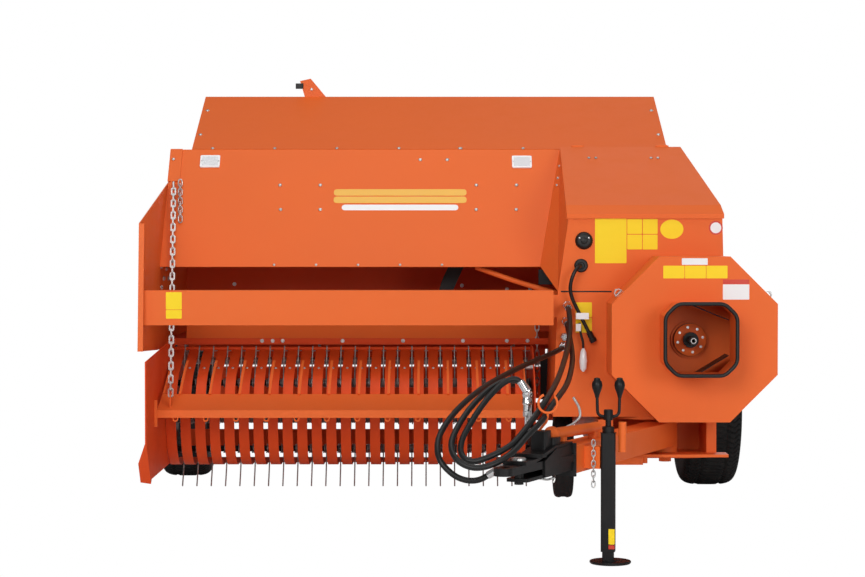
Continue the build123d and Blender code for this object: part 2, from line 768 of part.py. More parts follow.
def pickup():
    """Side sheets, tie tubes and the gauge wheel's arm, all turning about one rear pivot."""
    py, pz = pickup_pivot
    right = along_x(shield_outline(), pickup_right_x, pickup_right_x + side_wall)
    left_sheet = [
        (-165, 675),
        (-165, 590),
        (-330, 560),
        (-430, 300),
        (-560, 215),
        (-760, 260),
        (-880, 420),
        (-860, 560),
        (-640, 722),
        (-470, 722),
        (-440, 706),
        (-400, 690),
    ]
    left = along_x(left_sheet, pickup_left_x - side_wall, pickup_left_x)
    arm = [(gauge_y - 30, gauge_z - 30), (gauge_y + 30, gauge_z - 30), (-500, 420), (-560, 440)]
    left += along_x(arm, pickup_left_x, pickup_left_x + 10)
    left += rod((pickup_left_x, gauge_y, gauge_z), (gauge_x + 52, gauge_y, gauge_z), 24)
    span = (pickup_right_x - 9, pickup_left_x + 20)
    bores = rod((span[0], py, pz), (span[1], py, pz), pickup_shaft_dia + 2 * fit)
    bores += rod((span[0], reel_y, reel_z), (span[1], reel_y, reel_z), reel_shaft_dia + 2 * fit)
    save("pickup_frame", right - bores, left - bores)
    shaft = rod((feeder_right_x, py, pz), (wall_x[0], py, pz), pickup_shaft_dia)
    hanger = []
    for x in (-1150.0, -560.0, 340.0 - 40.0):
        web = [(py - 40, feeder_floor_z - sheet), (py + 40, feeder_floor_z - sheet), (py + 26, pz - 25), (py - 26, pz - 25)]
        hanger.append(along_x(web, x, x + 10))
    save("pickup_shaft", shaft + hanger[0] + hanger[1] + hanger[2])


def stripper_bands():
    """Bands bent round the reel between the tines, on an upper and a lower cross rod."""
    py, pz = band_top
    dy, dz = py - reel_y, pz - reel_z
    start = math.degrees(math.atan2(dz, dy) + math.acos(band_radius / math.hypot(dy, dz)))
    sweep = 270.0 - start
    centre = (reel_y, reel_z)
    inner = band_radius - band_wall
    outer_arc = CenterArc(centre, band_radius, start, sweep)
    inner_arc = CenterArc(centre, inner, start, sweep)
    lift = polar((0, 0), band_wall, start)
    tip = (py, pz)
    tip_in = (py - lift[0], pz - lift[1])
    tail = (band_tail_y, reel_z - band_radius)
    tail_in = (band_tail_y, tail[1] + band_wall)
    edges = [
        Line(tip, outer_arc @ 0),
        outer_arc,
        Line(outer_arc @ 1, tail),
        Line(tail, tail_in),
        Line(tail_in, inner_arc @ 1),
        inner_arc,
        Line(inner_arc @ 0, tip_in),
        Line(tip_in, tip),
    ]
    one = extrude(Plane.YZ * make_face(edges), band_width)
    bands = []
    for index in range(tine_count):
        middle = first_tine_x + (index - 0.5) * tine_pitch
        bands.append(Pos(middle - band_width / 2, 0, 0) * one)
    x0 = pickup_right_x + side_wall
    x1 = pickup_left_x - side_wall
    low = (tail[0] - 4, tail[1] - 9)
    ties = [rod((x0, *low), (x1, *low), 22), rod((x0, *band_top), (x1, *band_top), 16)]
    save("stripper_bands", bands[0].fuse(*bands[1:], *ties))


def pickup_reel():
    """Tine bars on discs and a shaft; each bar carries a row of bent spring tines."""
    x0 = pickup_right_x + side_wall + free
    x1 = pickup_left_x - side_wall - free
    reel = rod((pickup_right_x - 8, 0, 0), (pickup_left_x + 8, 0, 0), reel_shaft_dia)
    for x in (x0, (x0 + x1) / 2 - 16, x1 - 8):
        reel += Pos(x + 4, 0, 0) * Rot(0, 90, 0) * Cylinder(bar_radius + 20, 8)
    half = tine_dia / 2
    spine = [(bar_radius - 6, -half), (bar_radius + 60, 6 - half), (tip_radius - 2, -14 - half)]
    tine = extrude(Plane.YZ * make_face(Polyline(*strip(spine, tine_dia), close=True)), tine_dia)
    for bar in range(bar_count):
        row = [rod((x0, bar_radius, 0), (x1, bar_radius, 0), bar_dia)]
        for index in range(tine_count):
            row.append(Pos(first_tine_x + index * tine_pitch - half, 0, 0) * tine)
        reel += Rot(45 + bar * 360 / bar_count, 0, 0) * row[0].fuse(*row[1:])
    save("pickup_reel", Pos(0, reel_y, reel_z) * reel)


def gauge_wheel():
    """The small wheel beside the pickup, tyre and hub."""
    centre = Pos(gauge_x, gauge_y, gauge_z) * Rot(0, 90, 0)
    tyre_ring = Cylinder(gauge_dia / 2, gauge_width) - Cylinder(gauge_dia / 2 - 62, gauge_width + 2)
    tyre_ring = fillet(tyre_ring.edges().filter_by(GeomType.CIRCLE).group_by(SortBy.RADIUS)[-1], 22)
    save("gauge_tyre", centre * tyre_ring)
    core = Cylinder(gauge_dia / 2 - 62 - seat, gauge_width - 20) - Cylinder(12 + fit, gauge_width)
    save("gauge_rim", centre * core)


def windguard():
    """The folded guard over the crop's path, on two arms that pivot at the pickup's sides."""
    profile = strip(
        [(guard_lip[0], guard_lip[1] - 28), guard_lip, guard_rear, (guard_rear[0] + 12, guard_rear[1] - 18)], 3.0
    )
    body = along_x(profile, *guard_x)
    gy, gz = guard_pivot
    for x in (guard_x[0], guard_x[1] - 6):
        arm = [(guard_lip[0] + 20, guard_lip[1] - 26), (guard_rear[0], guard_rear[1]), (gy, gz + 24), (gy + 20, gz - 16)]
        body += along_x(arm, x, x + 6)
    body -= rod((guard_x[0] - 1, gy, gz), (guard_x[1] + 1, gy, gz), 20 + 2 * fit)
    pins = [rod((pickup_right_x + side_wall, gy, gz), (guard_x[0] + 7, gy, gz), 20)]
    pins.append(rod((guard_x[1] - 7, gy, gz), (pickup_left_x - side_wall, gy, gz), 20))
    ex, ey, ez = chain_ear
    body += block((ex - 2, ex + 2), (ey - 14, ey + 14), (guard_lip[1] + 4, ez + 12))
    body -= rod((ex - 5, ey, ez), (ex + 5, ey, ez), link_wire + 6)
    save("windguard", body)
    save("windguard_pins", *pins)


def link_outline(reach, side, cut):
    """A rectangle with cut corners, round the origin."""
    quarter = [(reach - cut, -side), (reach, cut - side), (reach, side - cut), (reach - cut, side)]
    return quarter + [(-u, -v) for u, v in quarter]


def chain():
    """Links of square wire from the peg to the windguard's ear, each a quarter turn on."""
    start = Vector(*chain_peg)
    run = Vector(*chain_ear) - start
    pitch = (run.length + (chain_peg_dia - link_wire) / 2) / chain_count
    half = (pitch + seat) / 2
    wide = link_width / 2
    flat = make_face(Polyline(*link_outline(half + link_wire, wide, 6), close=True))
    flat -= make_face(Polyline(*link_outline(half, wide - link_wire, 3), close=True))
    one = Pos(0, 0, -link_wire / 2) * extrude(flat, link_wire)
    lie = Plane(start, x_dir=run, z_dir=Vector(0, run.Z, -run.Y).cross(run)).location
    first = half - chain_peg_dia / 2 - seat
    links = []
    for index in range(chain_count):
        links.append(lie * Pos(first + index * pitch, 0, 0) * Rot(90 * (index % 2), 0, 0) * one)
    save("windguard_chain", *links)


def plunger():
    """The sliding plunger with its face, webs and wear strips."""
    x = (chamber_x[0] + free, chamber_x[1] - free)
    y = (plunger_face_y - plunger_length, plunger_face_y)
    z = (chamber_floor_z + free, roof_z - free)
    ram = block(x, y, z)
    ram -= block((x[0] + 20, x[1] - 20), (y[0] - 1, y[1] - 30), (z[0] + 20, z[1] - 20))
    for x_strip in ((x[0] + 5, x[0] + 45), (x[1] - 45, x[1] - 5)):
        ram += block(x_strip, y, (chamber_floor_z + seat, z[0]))
    save("plunger", ram)


def packer():
    """Two curved packer fingers on a tube that rocks on a fixed shaft."""
    px, pz = packer_pivot
    shaft_y = (packer_y[0] - 40, feeder_rear_y - sheet)
    mount = rod((px, shaft_y[0], pz), (px, shaft_y[1] - 10, pz), packer_shaft_dia)
    mount += block((px - 60, px + 60), (shaft_y[1] - 12, shaft_y[1]), (1200, 1420))
    save("packer_mount", mount)
    tube = rod((px, packer_y[0], pz), (px, packer_y[1] + finger_wall, pz), packer_shaft_dia + 24)
    fork = tube
    knee = (60.0, 1060.0)
    outline = [
        Line((px - 28, pz), (knee[0] - 24, knee[1] + 20)),
        ThreePointArc((knee[0] - 24, knee[1] + 20), (-24, 950), (packer_tip[0] - 8, packer_tip[1])),
        Line((packer_tip[0] - 8, packer_tip[1]), (packer_tip[0] + 8, packer_tip[1])),
        ThreePointArc((packer_tip[0] + 8, packer_tip[1]), (34, 945), (knee[0] + 28, knee[1] + 5)),
        Line((knee[0] + 28, knee[1] + 5), (px + 28, pz)),
        Line((px + 28, pz), (px - 28, pz)),
    ]
    finger_face = make_face(outline)
    for y in packer_y:
        fork += extrude(Plane.XZ.offset(-(y + finger_wall)) * finger_face, finger_wall)
    fork -= rod((px, shaft_y[0] - 1, pz), (px, shaft_y[1], pz), packer_shaft_dia + 2 * fit)
    save("packer_fork", fork)


def needles():
    """Curved needles on a yoke; each arc is centred on the yoke's pivot, so it follows its own path."""
    ny, nz = needle_pivot
    a0, a1 = 180 + needle_tip_deg, 180 + needle_root_deg
    outer = needle_radius + needle_depth / 2
    inner = needle_radius - needle_depth / 2
    arc_out = CenterArc((ny, nz), outer, a0, a1 - a0)
    arc_in = CenterArc((ny, nz), inner, a0, a1 - a0)
    edges = [arc_out, arc_in, Line(arc_out @ 0, arc_in @ 0), Line(arc_out @ 1, arc_in @ 1)]
    face = Plane.YZ * make_face(edges)
    root = polar(needle_pivot, needle_radius, a1)
    yoke = rod((yoke_x[0], *root), (yoke_x[1], *root), 50)
    for x in needle_x:
        yoke += Pos(x - needle_width / 2, 0, 0) * extrude(face, needle_width)
    along = math.radians(a1)
    normal = (-math.sin(along) * 30, math.cos(along) * 30)
    arm = [
        (ny + normal[0], nz + normal[1]),
        (root[0] + normal[0], root[1] + normal[1]),
        (root[0] - normal[0], root[1] - normal[1]),
        (ny - normal[0], nz - normal[1]),
    ]
    for x in (yoke_x[0], yoke_x[1] - 12):
        cheek = along_x(arm, x, x + 12) + rod((x, ny, nz), (x + 12, ny, nz), 76)
        yoke += cheek
    yoke -= rod((yoke_x[0] - 1, ny, nz), (yoke_x[1] + 1, ny, nz), 40 + 2 * fit)
    save("needle_yoke", yoke)


def knotters():
    """Two knotters on a shaft above the chamber, under a bent cover."""
    base_z = roof_z + chamber_wall
    unit = []
    for x in (wall_x[0] + 10, wall_x[1] - 22):
        side = [(470, base_z), (740, base_z), (700, 1230), (560, 1290), (480, 1200)]
        unit.append(along_x(side, x, x + plate))
    shaft = rod((wall_x[0] + 10, 590, 1180), (wall_x[1] - 10, 590, 1180), 36)
    parts = shaft + unit[0] + unit[1]
    for x in needle_x:
        disc = rod((x - 12, 590, 1180), (x + 12, 590, 1180), 190)
        disc -= Pos(x, 500, 1180) * Box(30, 40, 60)
        parts += disc
        parts += block((x + 14, x + 40), (480, 600), (base_z, 1110))
    save("knotters", parts)
    cover = strip([(355, base_z), (385, 1300), (520, 1400), (720, 1370), (790, 1200)], 3.0)
    shell = along_x(cover, wall_x[0] + 6, wall_x[1] - 6)
    save("knotter_cover", shell)


def twine_box():
    """The box for twine balls beside the chamber, and its hinged lid."""
    x = (150.0, wall_x[0] - rib_depth)
    y = (1080.0, 1680.0)
    z = (700.0, 1230.0)
    hx, hz = twine_hinge
    box = block(x, y, z)
    box -= block((x[0] + 3, x[1] - 3), (y[0] + 3, y[1] - 3), (z[0] + 3, z[1] + 1))
    lid = block((x[0] - 6, x[1] - 3), (y[0] - 6, y[1] + 6), (z[1] + seat, z[1] + 20))
    lid -= block((x[0] - 3, x[1] - 6), (y[0] - 3, y[1] + 3), (z[1] - 1, z[1] + 17))
    for knuckle_y in (y[0] + 120, y[1] - 120):
        for ear_y in (knuckle_y - 37, knuckle_y + 31):
            box += block((x[1] - 1, hx + 7), (ear_y, ear_y + 6), (z[1] - 50, hz + 5))
        box += rod((hx, knuckle_y - 36, hz), (hx, knuckle_y + 36, hz), 10)
        lid += block((x[1] - 9, hx), (knuckle_y - 30, knuckle_y + 30), (z[1] + 14, z[1] + 17))
        lid += rod((hx, knuckle_y - 30, hz), (hx, knuckle_y + 30, hz), 18)
        lid -= rod((hx, knuckle_y - 31, hz), (hx, knuckle_y + 31, hz), 10 + 2 * fit)
    save("twine_box", box)
    save("twine_lid", lid)


def chute():
    """The chute that carries bales away, hinged at the chamber's end."""
    hy, hz = chute_hinge
    x = (wall_x[0] - 22, wall_x[1] + 22)
    floor = block(x, (hy + 28, chute_rear_y), (hz - 20, hz - 14))
    side = [(hy - 24, hz - 20), (chute_rear_y, hz - 20), (chute_rear_y, hz + 40), (hy + 60, hz + 90), (hy - 24, hz + 20)]
    for x0 in (x[0], x[1] - 8):
        floor += along_x(side, x0, x0 + 8)
    floor -= rod((x[0] - 1, hy, hz), (x[1] + 1, hy, hz), 24 + 2 * fit)
    save("bale_chute", floor)


os.makedirs("parts", exist_ok=True)
main_wheels()
frame()
axle()
bale_chamber()
tension_rails()
feeder()
end_plate()
front_panel()
top_hood()
hood_stay()
cross_beam()
gearbox_hood()
gearbox_lid()
gearbox()
flywheel_guard()
flywheel()
fittings()
drawbar()
hitch()
jack()
pickup()
stripper_bands()
pickup_reel()
gauge_wheel()
windguard()
chain()
plunger()
packer()
needles()
knotters()
twine_box()
chute()
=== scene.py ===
import math
import bpy
import numpy as np
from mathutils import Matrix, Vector


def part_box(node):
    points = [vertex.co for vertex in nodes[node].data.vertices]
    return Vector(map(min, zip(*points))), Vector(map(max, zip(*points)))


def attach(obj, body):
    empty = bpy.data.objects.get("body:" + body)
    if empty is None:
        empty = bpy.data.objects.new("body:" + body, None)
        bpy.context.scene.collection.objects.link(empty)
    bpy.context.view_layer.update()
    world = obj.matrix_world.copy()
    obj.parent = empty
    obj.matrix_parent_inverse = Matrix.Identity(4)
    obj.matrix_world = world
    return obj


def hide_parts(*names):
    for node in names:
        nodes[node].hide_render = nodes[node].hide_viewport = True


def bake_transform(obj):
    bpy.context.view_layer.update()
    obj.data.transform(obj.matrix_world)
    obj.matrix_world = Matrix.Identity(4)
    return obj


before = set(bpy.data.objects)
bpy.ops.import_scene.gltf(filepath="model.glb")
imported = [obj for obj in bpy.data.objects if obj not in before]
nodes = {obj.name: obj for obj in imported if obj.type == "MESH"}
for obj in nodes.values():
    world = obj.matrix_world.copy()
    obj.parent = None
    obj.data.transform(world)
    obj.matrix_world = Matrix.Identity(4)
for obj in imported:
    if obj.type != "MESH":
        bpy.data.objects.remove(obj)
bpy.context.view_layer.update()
print("frame loaded")

# Lengths are metres. X runs to the baler's left, Y to its rear and Z up.

# The camera stands where the photograph was taken
cameraView = {
    "place": (-0.0545, -9.6, 1.175),
    "pitchDown": 1.31,  # degrees
    "lens": 88.15,
    "sensor": 36.0,
}


def makeCamera(view):
    data = bpy.data.cameras.new("camera")
    data.lens = view["lens"]
    data.sensor_width = view["sensor"]
    data.clip_end = 60.0
    camera = bpy.data.objects.new("camera", data)
    camera.location = view["place"]
    camera.rotation_euler = (math.radians(90 - view["pitchDown"]), 0, 0)
    bpy.context.scene.collection.objects.link(camera)
    bpy.context.scene.camera = camera


makeCamera(cameraView)
print("camera placed")


# Shader maths: a Wire is one output socket, and + and * between wires and numbers add Math nodes
class Wire:
    def __init__(self, paint, socket):
        self.paint = paint
        self.socket = socket

    def __add__(self, other):
        return self.paint.maths("ADD", self, other)

    def __radd__(self, other):
        return self.paint.maths("ADD", other, self)

    def __mul__(self, other):
        return self.paint.maths("MULTIPLY", self, other)

    def __rmul__(self, other):
        return self.paint.maths("MULTIPLY", other, self)


class Paint:  # one material with its nodes
    def __init__(self, name, metallic=0.0, coat=0.0, coatRoughness=0.1, specular=0.5):
        self.material = bpy.data.materials.new(name)
        self.material.use_nodes = True
        self.tree = self.material.node_tree
        self.tree.nodes.clear()
        self.shader = self.tree.nodes.new("ShaderNodeBsdfPrincipled")
        output = self.tree.nodes.new("ShaderNodeOutputMaterial")
        self.tree.links.new(self.shader.outputs[0], output.inputs[0])
        self.set("Metallic", metallic)
        self.set("Coat Weight", coat)
        self.set("Coat Roughness", coatRoughness)
        self.set("Specular IOR Level", specular)

    def node(self, kind, settings=None, sockets=None, out=0):
        made = self.tree.nodes.new(kind)
        for key, value in (settings or {}).items():
            setattr(made, key, value)
        for key, value in (sockets or {}).items():
            self.feed(made.inputs[key], value)
        return Wire(self, made.outputs[out])

    def feed(self, socket, value):
        if isinstance(value, Wire):
            self.tree.links.new(value.socket, socket)
        else:
            socket.default_value = value

    def set(self, name, value):
        self.feed(self.shader.inputs[name], value)

    def maths(self, operation, a, b):
        return self.node("ShaderNodeMath", {"operation": operation}, {0: a, 1: b})

    def place(self):  # the object's own coordinates
        return self.node("ShaderNodeTexCoord", out=3)

    def noise(self, scale, detail, rough):
        sockets = {"Vector": self.place(), "Scale": scale, "Detail": detail, "Roughness": rough}
        return self.node("ShaderNodeTexNoise", {}, sockets)

    def step(self, value, low, high):  # 0 below low, 1 above high, straight between
        return self.node("ShaderNodeMapRange", {}, {"Value": value, "From Min": low, "From Max": high})

    def mix(self, factor, a, b):
        return self.node("ShaderNodeMix", {"data_type": "RGBA"}, {0: factor, 6: a, 7: b}, out=2)

    def dress(self, colour, roughness, height, strength, distance):
        self.set("Base Color", colour)
        self.set("Roughness", roughness)
        sockets = {"Height": height, "Strength": strength, "Distance": distance}
        self.set("Normal", self.node("ShaderNodeBump", {}, sockets))
        return self.material


def shade(colour, factor=1.0):  # a colour made lighter or darker, as an RGBA value
    return tuple(min(1.0, c * factor) for c in colour) + (1.0,)


# Finishes
def paintedSteel(name, colour, patchColour, dustColour, dustAmount=0.05, roughness=0.42):
    # powder coat: slow drift of colour, fine orange peel, a little dust in patches
    p = Paint(name, coat=0.03, coatRoughness=0.22, specular=0.16)
    drift = p.step(p.noise(1.7, 3.0, 0.6), 0.35, 0.70)
    cloud = p.noise(9.0, 5.0, 0.65)
    fine = p.noise(260.0, 2.0, 0.5)
    dust = p.step(cloud, 0.50, 0.78) * dustAmount
    coloured = p.mix(drift * 0.55, shade(colour), shade(patchColour))
    dusty = p.mix(dust, coloured, shade(dustColour))
    peel = fine + p.noise(70.0, 2.0, 0.5) * 0.8
    return p.dress(dusty, roughness + cloud * 0.12 + dust * 1.5, peel, 0.10, 0.0006)


def blackSteel(name, colour, dustColour):
    # enamel with dust in patches
    p = Paint(name, coat=0.08, coatRoughness=0.22, specular=0.24)
    cloud = p.noise(14.0, 4.0, 0.6)
    dust = p.step(cloud, 0.52, 0.80) * 0.25
    dusty = p.mix(dust, shade(colour), shade(dustColour))
    return p.dress(dusty, 0.34 + cloud * 0.22, p.noise(320.0, 2.0, 0.5), 0.12, 0.0006)


def rubber(name, colour, dustColour, dustAmount, roughness=0.72):
    # matt, with dust in patches
    p = Paint(name, specular=0.35)
    cloud = p.noise(11.0, 5.0, 0.65)
    dust = p.step(cloud, 0.45, 0.75) * dustAmount
    dusty = p.mix(dust, shade(colour), shade(dustColour))
    return p.dress(dusty, roughness + cloud * 0.18, p.noise(420.0, 3.0, 0.6), 0.22, 0.0007)


def galvanised(name, colour, roughness, cell):
    # zinc: flat crystals of slightly different grey
    p = Paint(name, metallic=0.9, specular=0.5)
    crystals = p.node("ShaderNodeTexVoronoi", {}, {"Vector": p.place(), "Scale": cell}, out=1)
    grey = p.node("ShaderNodeSeparateColor", {}, {0: crystals})
    stain = p.step(p.noise(18.0, 4.0, 0.6), 0.45, 0.8)
    bright = p.mix(grey, shade(colour, 0.80), shade(colour, 1.15))
    stained = p.mix(stain * 0.35, bright, shade(colour, 0.55))
    height = grey + p.noise(240.0, 2.0, 0.5)
    return p.dress(stained, roughness + grey * 0.16 + stain * 0.15, height, 0.10, 0.0005)


def polished(name, colour, roughness):
    # bright metal, slightly clouded
    p = Paint(name, metallic=1.0)
    cloud = p.noise(40.0, 3.0, 0.6)
    clouded = p.mix(cloud * 0.4, shade(colour), shade(colour, 0.82))
    return p.dress(clouded, roughness + cloud * 0.14, p.noise(500.0, 2.0, 0.5), 0.05, 0.0003)


def film(name, colour, roughness=0.32, coat=0.5):  # printed film or moulded plastic
    p = Paint(name, coat=coat, coatRoughness=0.12, specular=0.25)
    cloud = p.noise(22.0, 3.0, 0.55)
    clouded = p.mix(cloud * 0.5, shade(colour), shade(colour, 0.92))
    return p.dress(clouded, roughness + cloud * 0.14, p.noise(90.0, 2.0, 0.5), 0.06, 0.0005)


finishPlan = {  # what makes each finish, then its colours and measures
    "orangePaint": (paintedSteel, (0.800, 0.143, 0.026), (0.760, 0.138, 0.028), (0.66, 0.26, 0.12)),
    # The next finish is the orange paint made darker and redder: painted shade for parts that sit in shadow
    # inside the machine
    "innerPaint": (paintedSteel, (0.720, 0.074, 0.012), (0.680, 0.070, 0.013), (0.50, 0.12, 0.05),
                   0.03, 0.46),
    "blackPaint": (blackSteel, (0.0060, 0.0055, 0.0058), (0.020, 0.018, 0.017)),
    "tyreRubber": (rubber, (0.0095, 0.0093, 0.0095), (0.050, 0.045, 0.040), 0.35),
    "blackRubber": (rubber, (0.006, 0.006, 0.006), (0.030, 0.028, 0.026), 0.12, 0.36),
    "galvanised": (galvanised, (0.60, 0.60, 0.59), 0.30, 70.0),
    "tineSteel": (galvanised, (0.38, 0.37, 0.36), 0.34, 120.0),
    "chrome": (polished, (0.74, 0.74, 0.75), 0.12),
    "greyIron": (paintedSteel, (0.20, 0.20, 0.20), (0.17, 0.17, 0.17), (0.3, 0.27, 0.24)),
    "greyPlastic": (film, (0.42, 0.42, 0.41), 0.5, 0.1),
    "yellowFilm": (film, (0.96, 0.68, 0.012), 0.45, 0.1),
    "amberFilm": (film, (0.84, 0.44, 0.036)),
    "whiteFilm": (film, (0.86, 0.86, 0.87)),
    "reflectorGlass": (film, (0.80, 0.81, 0.83), 0.10, 1.0),
    "redFilm": (film, (0.62, 0.045, 0.022)),
}
finishes = {name: make(name, *facts) for name, (make, *facts) in finishPlan.items()}
print("finishes made")

# Which finish each CAD node takes; those not named here are orange
nodeFinish = {
    # these parts take the darker, redder orange, which is painted shade
    "innerPaint": "axle feeder_housing pickup_frame stripper_bands",
    "blackPaint": "hitch jack_tube jack_leg input_shaft packer_fork rim_left rim_right",
    "tyreRubber": "tyre_left tyre_right gauge_tyre",
    "blackRubber": "guard_rim hood_caps",
    "galvanised": "windguard_chain windguard_pins plunger needle_yoke knotters",
    "tineSteel": "pickup_reel pickup_shaft",
    "chrome": "hose_unions",
    "greyIron": "gearbox",
    "greyPlastic": "gauge_rim",
}
finishOf = {name: finish for finish, names in nodeFinish.items() for name in names.split()}
for name, node in nodes.items():
    node.data.materials.clear()
    node.data.materials.append(finishes[finishOf.get(name, "orangePaint")])
print("CAD nodes painted")


# Shapes: each is its points and its faces, as whole arrays
foldAngle = math.radians(38)  # an edge sharper than this is shaded as a fold


def newPiece(name, shape, finish, body, smooth=True):
    points, faces = shape
    mesh = bpy.data.meshes.new(name)
    mesh.from_pydata(np.asarray(points, float).tolist(), [], faces)
    mesh.polygons.foreach_set("use_smooth", np.full(len(mesh.polygons), smooth))
    mesh.materials.append(finishes[finish])
    mesh.update()
    piece = bpy.data.objects.new(name, mesh)
    bpy.context.scene.collection.objects.link(piece)
    if smooth:
        mesh.set_sharp_from_angle(angle=foldAngle)
    if body:
        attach(piece, body)
    return piece


def gridFaces(rows, columns, closeRows=False, closeColumns=False):
    # quads between neighbours of a rows x columns grid of points; a closed way also joins last to first
    r = np.arange(rows if closeRows else rows - 1)
    c = np.arange(columns if closeColumns else columns - 1)
    r, c = np.meshgrid(r, c, indexing="ij")
    r2, c2 = (r + 1) % rows, (c + 1) % columns
    quads = np.stack([r * columns + c, r * columns + c2, r2 * columns + c2, r2 * columns + c], -1)
    return quads.reshape(-1, 4)


def ringFaces(rings, sides):
    # quads from each ring of points to the next, and a flat face over the first and the last ring
    quads = gridFaces(rings, sides, closeColumns=True).tolist()
    last = (rings - 1) * sides + np.arange(sides)
    return quads + [np.arange(sides)[::-1].tolist(), last.tolist()]


def turned(profile, sides):
    # each (radius, height) of the profile becomes one ring about Z
    radius, height = np.array(profile, float).T
    angle = 2 * np.pi * np.arange(sides) / sides
    x, y = radius[:, None] * np.cos(angle), radius[:, None] * np.sin(angle)
    points = np.stack([x, y, np.tile(height[:, None], sides)], -1)
    return points.reshape(-1, 3), ringFaces(len(radius), sides)


def joined(parts):
    # several (points, faces) as one, with the faces' numbers moved on
    points, faces, start = [], [], 0
    for partPoints, partFaces in parts:
        points.append(partPoints)
        faces += [[i + start for i in face] for face in partFaces]
        start += len(partPoints)
    return np.concatenate(points), faces


def frameAlong(normal):
    # rows are two sideways directions and the normal itself
    n = np.asarray(normal, float)
    n = n / np.linalg.norm(n)
    side = np.cross((0.0, 0.0, 1.0), n)
    if np.linalg.norm(side) < 0.05:
        side = np.array((1.0, 0.0, 0.0))
    side = side / np.linalg.norm(side)
    return np.stack([side, np.cross(n, side), n])


def spinRows(turn):  # the matrix that turns rows of points about Z
    c, s = math.cos(turn), math.sin(turn)
    return np.array([[c, s, 0], [-s, c, 0], [0, 0, 1]])


def moved(shape, offset, rows=None):
    # a shape turned by a matrix, where one is given, and then moved
    points, faces = shape
    return (points if rows is None else points @ rows) + np.array(offset, float), faces


def scattered(shape, places, normal, turn=0.0):
    # the same small shape at many places, its height along the normal
    laid = (shape[0] @ spinRows(turn) @ frameAlong(normal), shape[1])
    return joined([moved(laid, place) for place in places])


def hexBolt(across):
    # a hexagon head with a chamfered top, on a round washer
    head, washer = across / 2 / math.cos(math.pi / 6), 0.75 * across
    base, height = 0.08 * across, 0.42 * across
    ring = turned([(washer, -0.002), (washer, base), (0.6 * washer, base)], 18)
    body = turned([(head, 0), (head, base + 0.8 * height), (0.86 * head, base + height)], 6)
    return joined([ring, body])


def domeBolt(diameter):
    # a pan head: a quarter circle of radii over a short skirt
    angle = np.radians([0, 25, 50, 72])
    radius = diameter / 2
    dome = np.stack([radius * np.cos(angle), 0.25 * radius + 0.45 * radius * np.sin(angle)], -1)
    return turned([(radius, -0.001), *dome], 14)


def fasten(name, head, places, normal, body="chassis"):  # one piece of zinc heads
    return newPiece(name, scattered(head, places, normal), "galvanised", body)


def along(path, ring, closed=False, up=(0.0, 0.0, 1.0)):
    # a ring of (side, over) offsets carried along a path; side is square to the path and to up
    path, ring = np.asarray(path, float), np.asarray(ring, float)
    if closed:
        ahead = np.roll(path, -1, 0) - np.roll(path, 1, 0)
    else:
        ahead = np.gradient(path, axis=0)
    ahead /= np.linalg.norm(ahead, axis=1)[:, None]
    side = np.cross(ahead, up)
    side /= np.linalg.norm(side, axis=1)[:, None] + 1e-9
    over = np.cross(side, ahead)
    points = path[:, None] + ring[None, :, :1] * side[:, None] + ring[None, :, 1:] * over[:, None]
    if closed:
        faces = gridFaces(len(path), len(ring), closeRows=True, closeColumns=True).tolist()
    else:
        faces = ringFaces(len(path), len(ring))
    return points.reshape(-1, 3), [face[::-1] for face in faces]


def circle(radius, sides):  # points at even steps round a circle
    angle = 2 * np.pi * np.arange(sides) / sides
    return np.stack([radius * np.cos(angle), radius * np.sin(angle)], -1)


def rounded(corners, radius, steps=6, closed=False):
    # a line through the corners; each turns into a curve between the two points where it leaves its sides
    corners = np.asarray(corners, float)
    count = len(corners)
    line = []
    for i in range(count):
        if not closed and i in (0, count - 1):
            line.append(corners[i][None])
            continue
        before, here, after = corners[i - 1], corners[i], corners[(i + 1) % count]
        a, b = before - here, after - here
        reach = min(radius, 0.45 * np.linalg.norm(a), 0.45 * np.linalg.norm(b))
        start = here + a / np.linalg.norm(a) * reach
        end = here + b / np.linalg.norm(b) * reach
        t = np.linspace(0, 1, steps)[:, None]
        line.append((1 - t) ** 2 * start + 2 * t * (1 - t) * here + t**2 * end)
    return np.concatenate(line)


def smoothLine(points, steps=8):
    # a Catmull-Rom curve through the points
    p = np.asarray(points, float)
    p = np.concatenate([2 * p[:1] - p[1:2], p, 2 * p[-1:] - p[-2:-1]])
    t = np.linspace(0, 1, steps, endpoint=False)[:, None, None]
    a, b, c, d = p[:-3], p[1:-2], p[2:-1], p[3:]
    curve = 0.5 * (2 * b + (c - a) * t + (2 * a - 5 * b + 4 * c - d) * t**2 + (3 * b - a - 3 * c + d) * t**3)
    return np.concatenate([curve.transpose(1, 0, 2).reshape(-1, 3), p[-2:-1]])


def slab(outline, thickness, centre, normal, sideways=(1, 0, 0)):
    # a flat outline of (across, up) points, given a thickness along the normal
    outline = np.asarray(outline, float)
    n = np.asarray(normal, float) / np.linalg.norm(normal)
    s = np.asarray(sideways, float) / np.linalg.norm(sideways)
    flat = np.asarray(centre) + outline[:, :1] * s + outline[:, 1:] * np.cross(n, s)
    return np.concatenate([flat, flat + n * thickness]), ringFaces(2, len(outline))


def roundRect(width, height, corner, steps=4):
    # the corner's arc, turned a quarter at a time round the rectangle
    angle = np.linspace(0, np.pi / 2, steps)
    arc = np.stack([np.cos(angle), np.sin(angle)], -1) * corner
    corners = []
    for quarter, (sx, sz) in enumerate(((1, 1), (-1, 1), (-1, -1), (1, -1))):
        centre = (sx * (width / 2 - corner), sz * (height / 2 - corner))
        corners.append(arc @ spinRows(quarter * math.pi / 2)[:2, :2] + centre)
    return np.concatenate(corners)


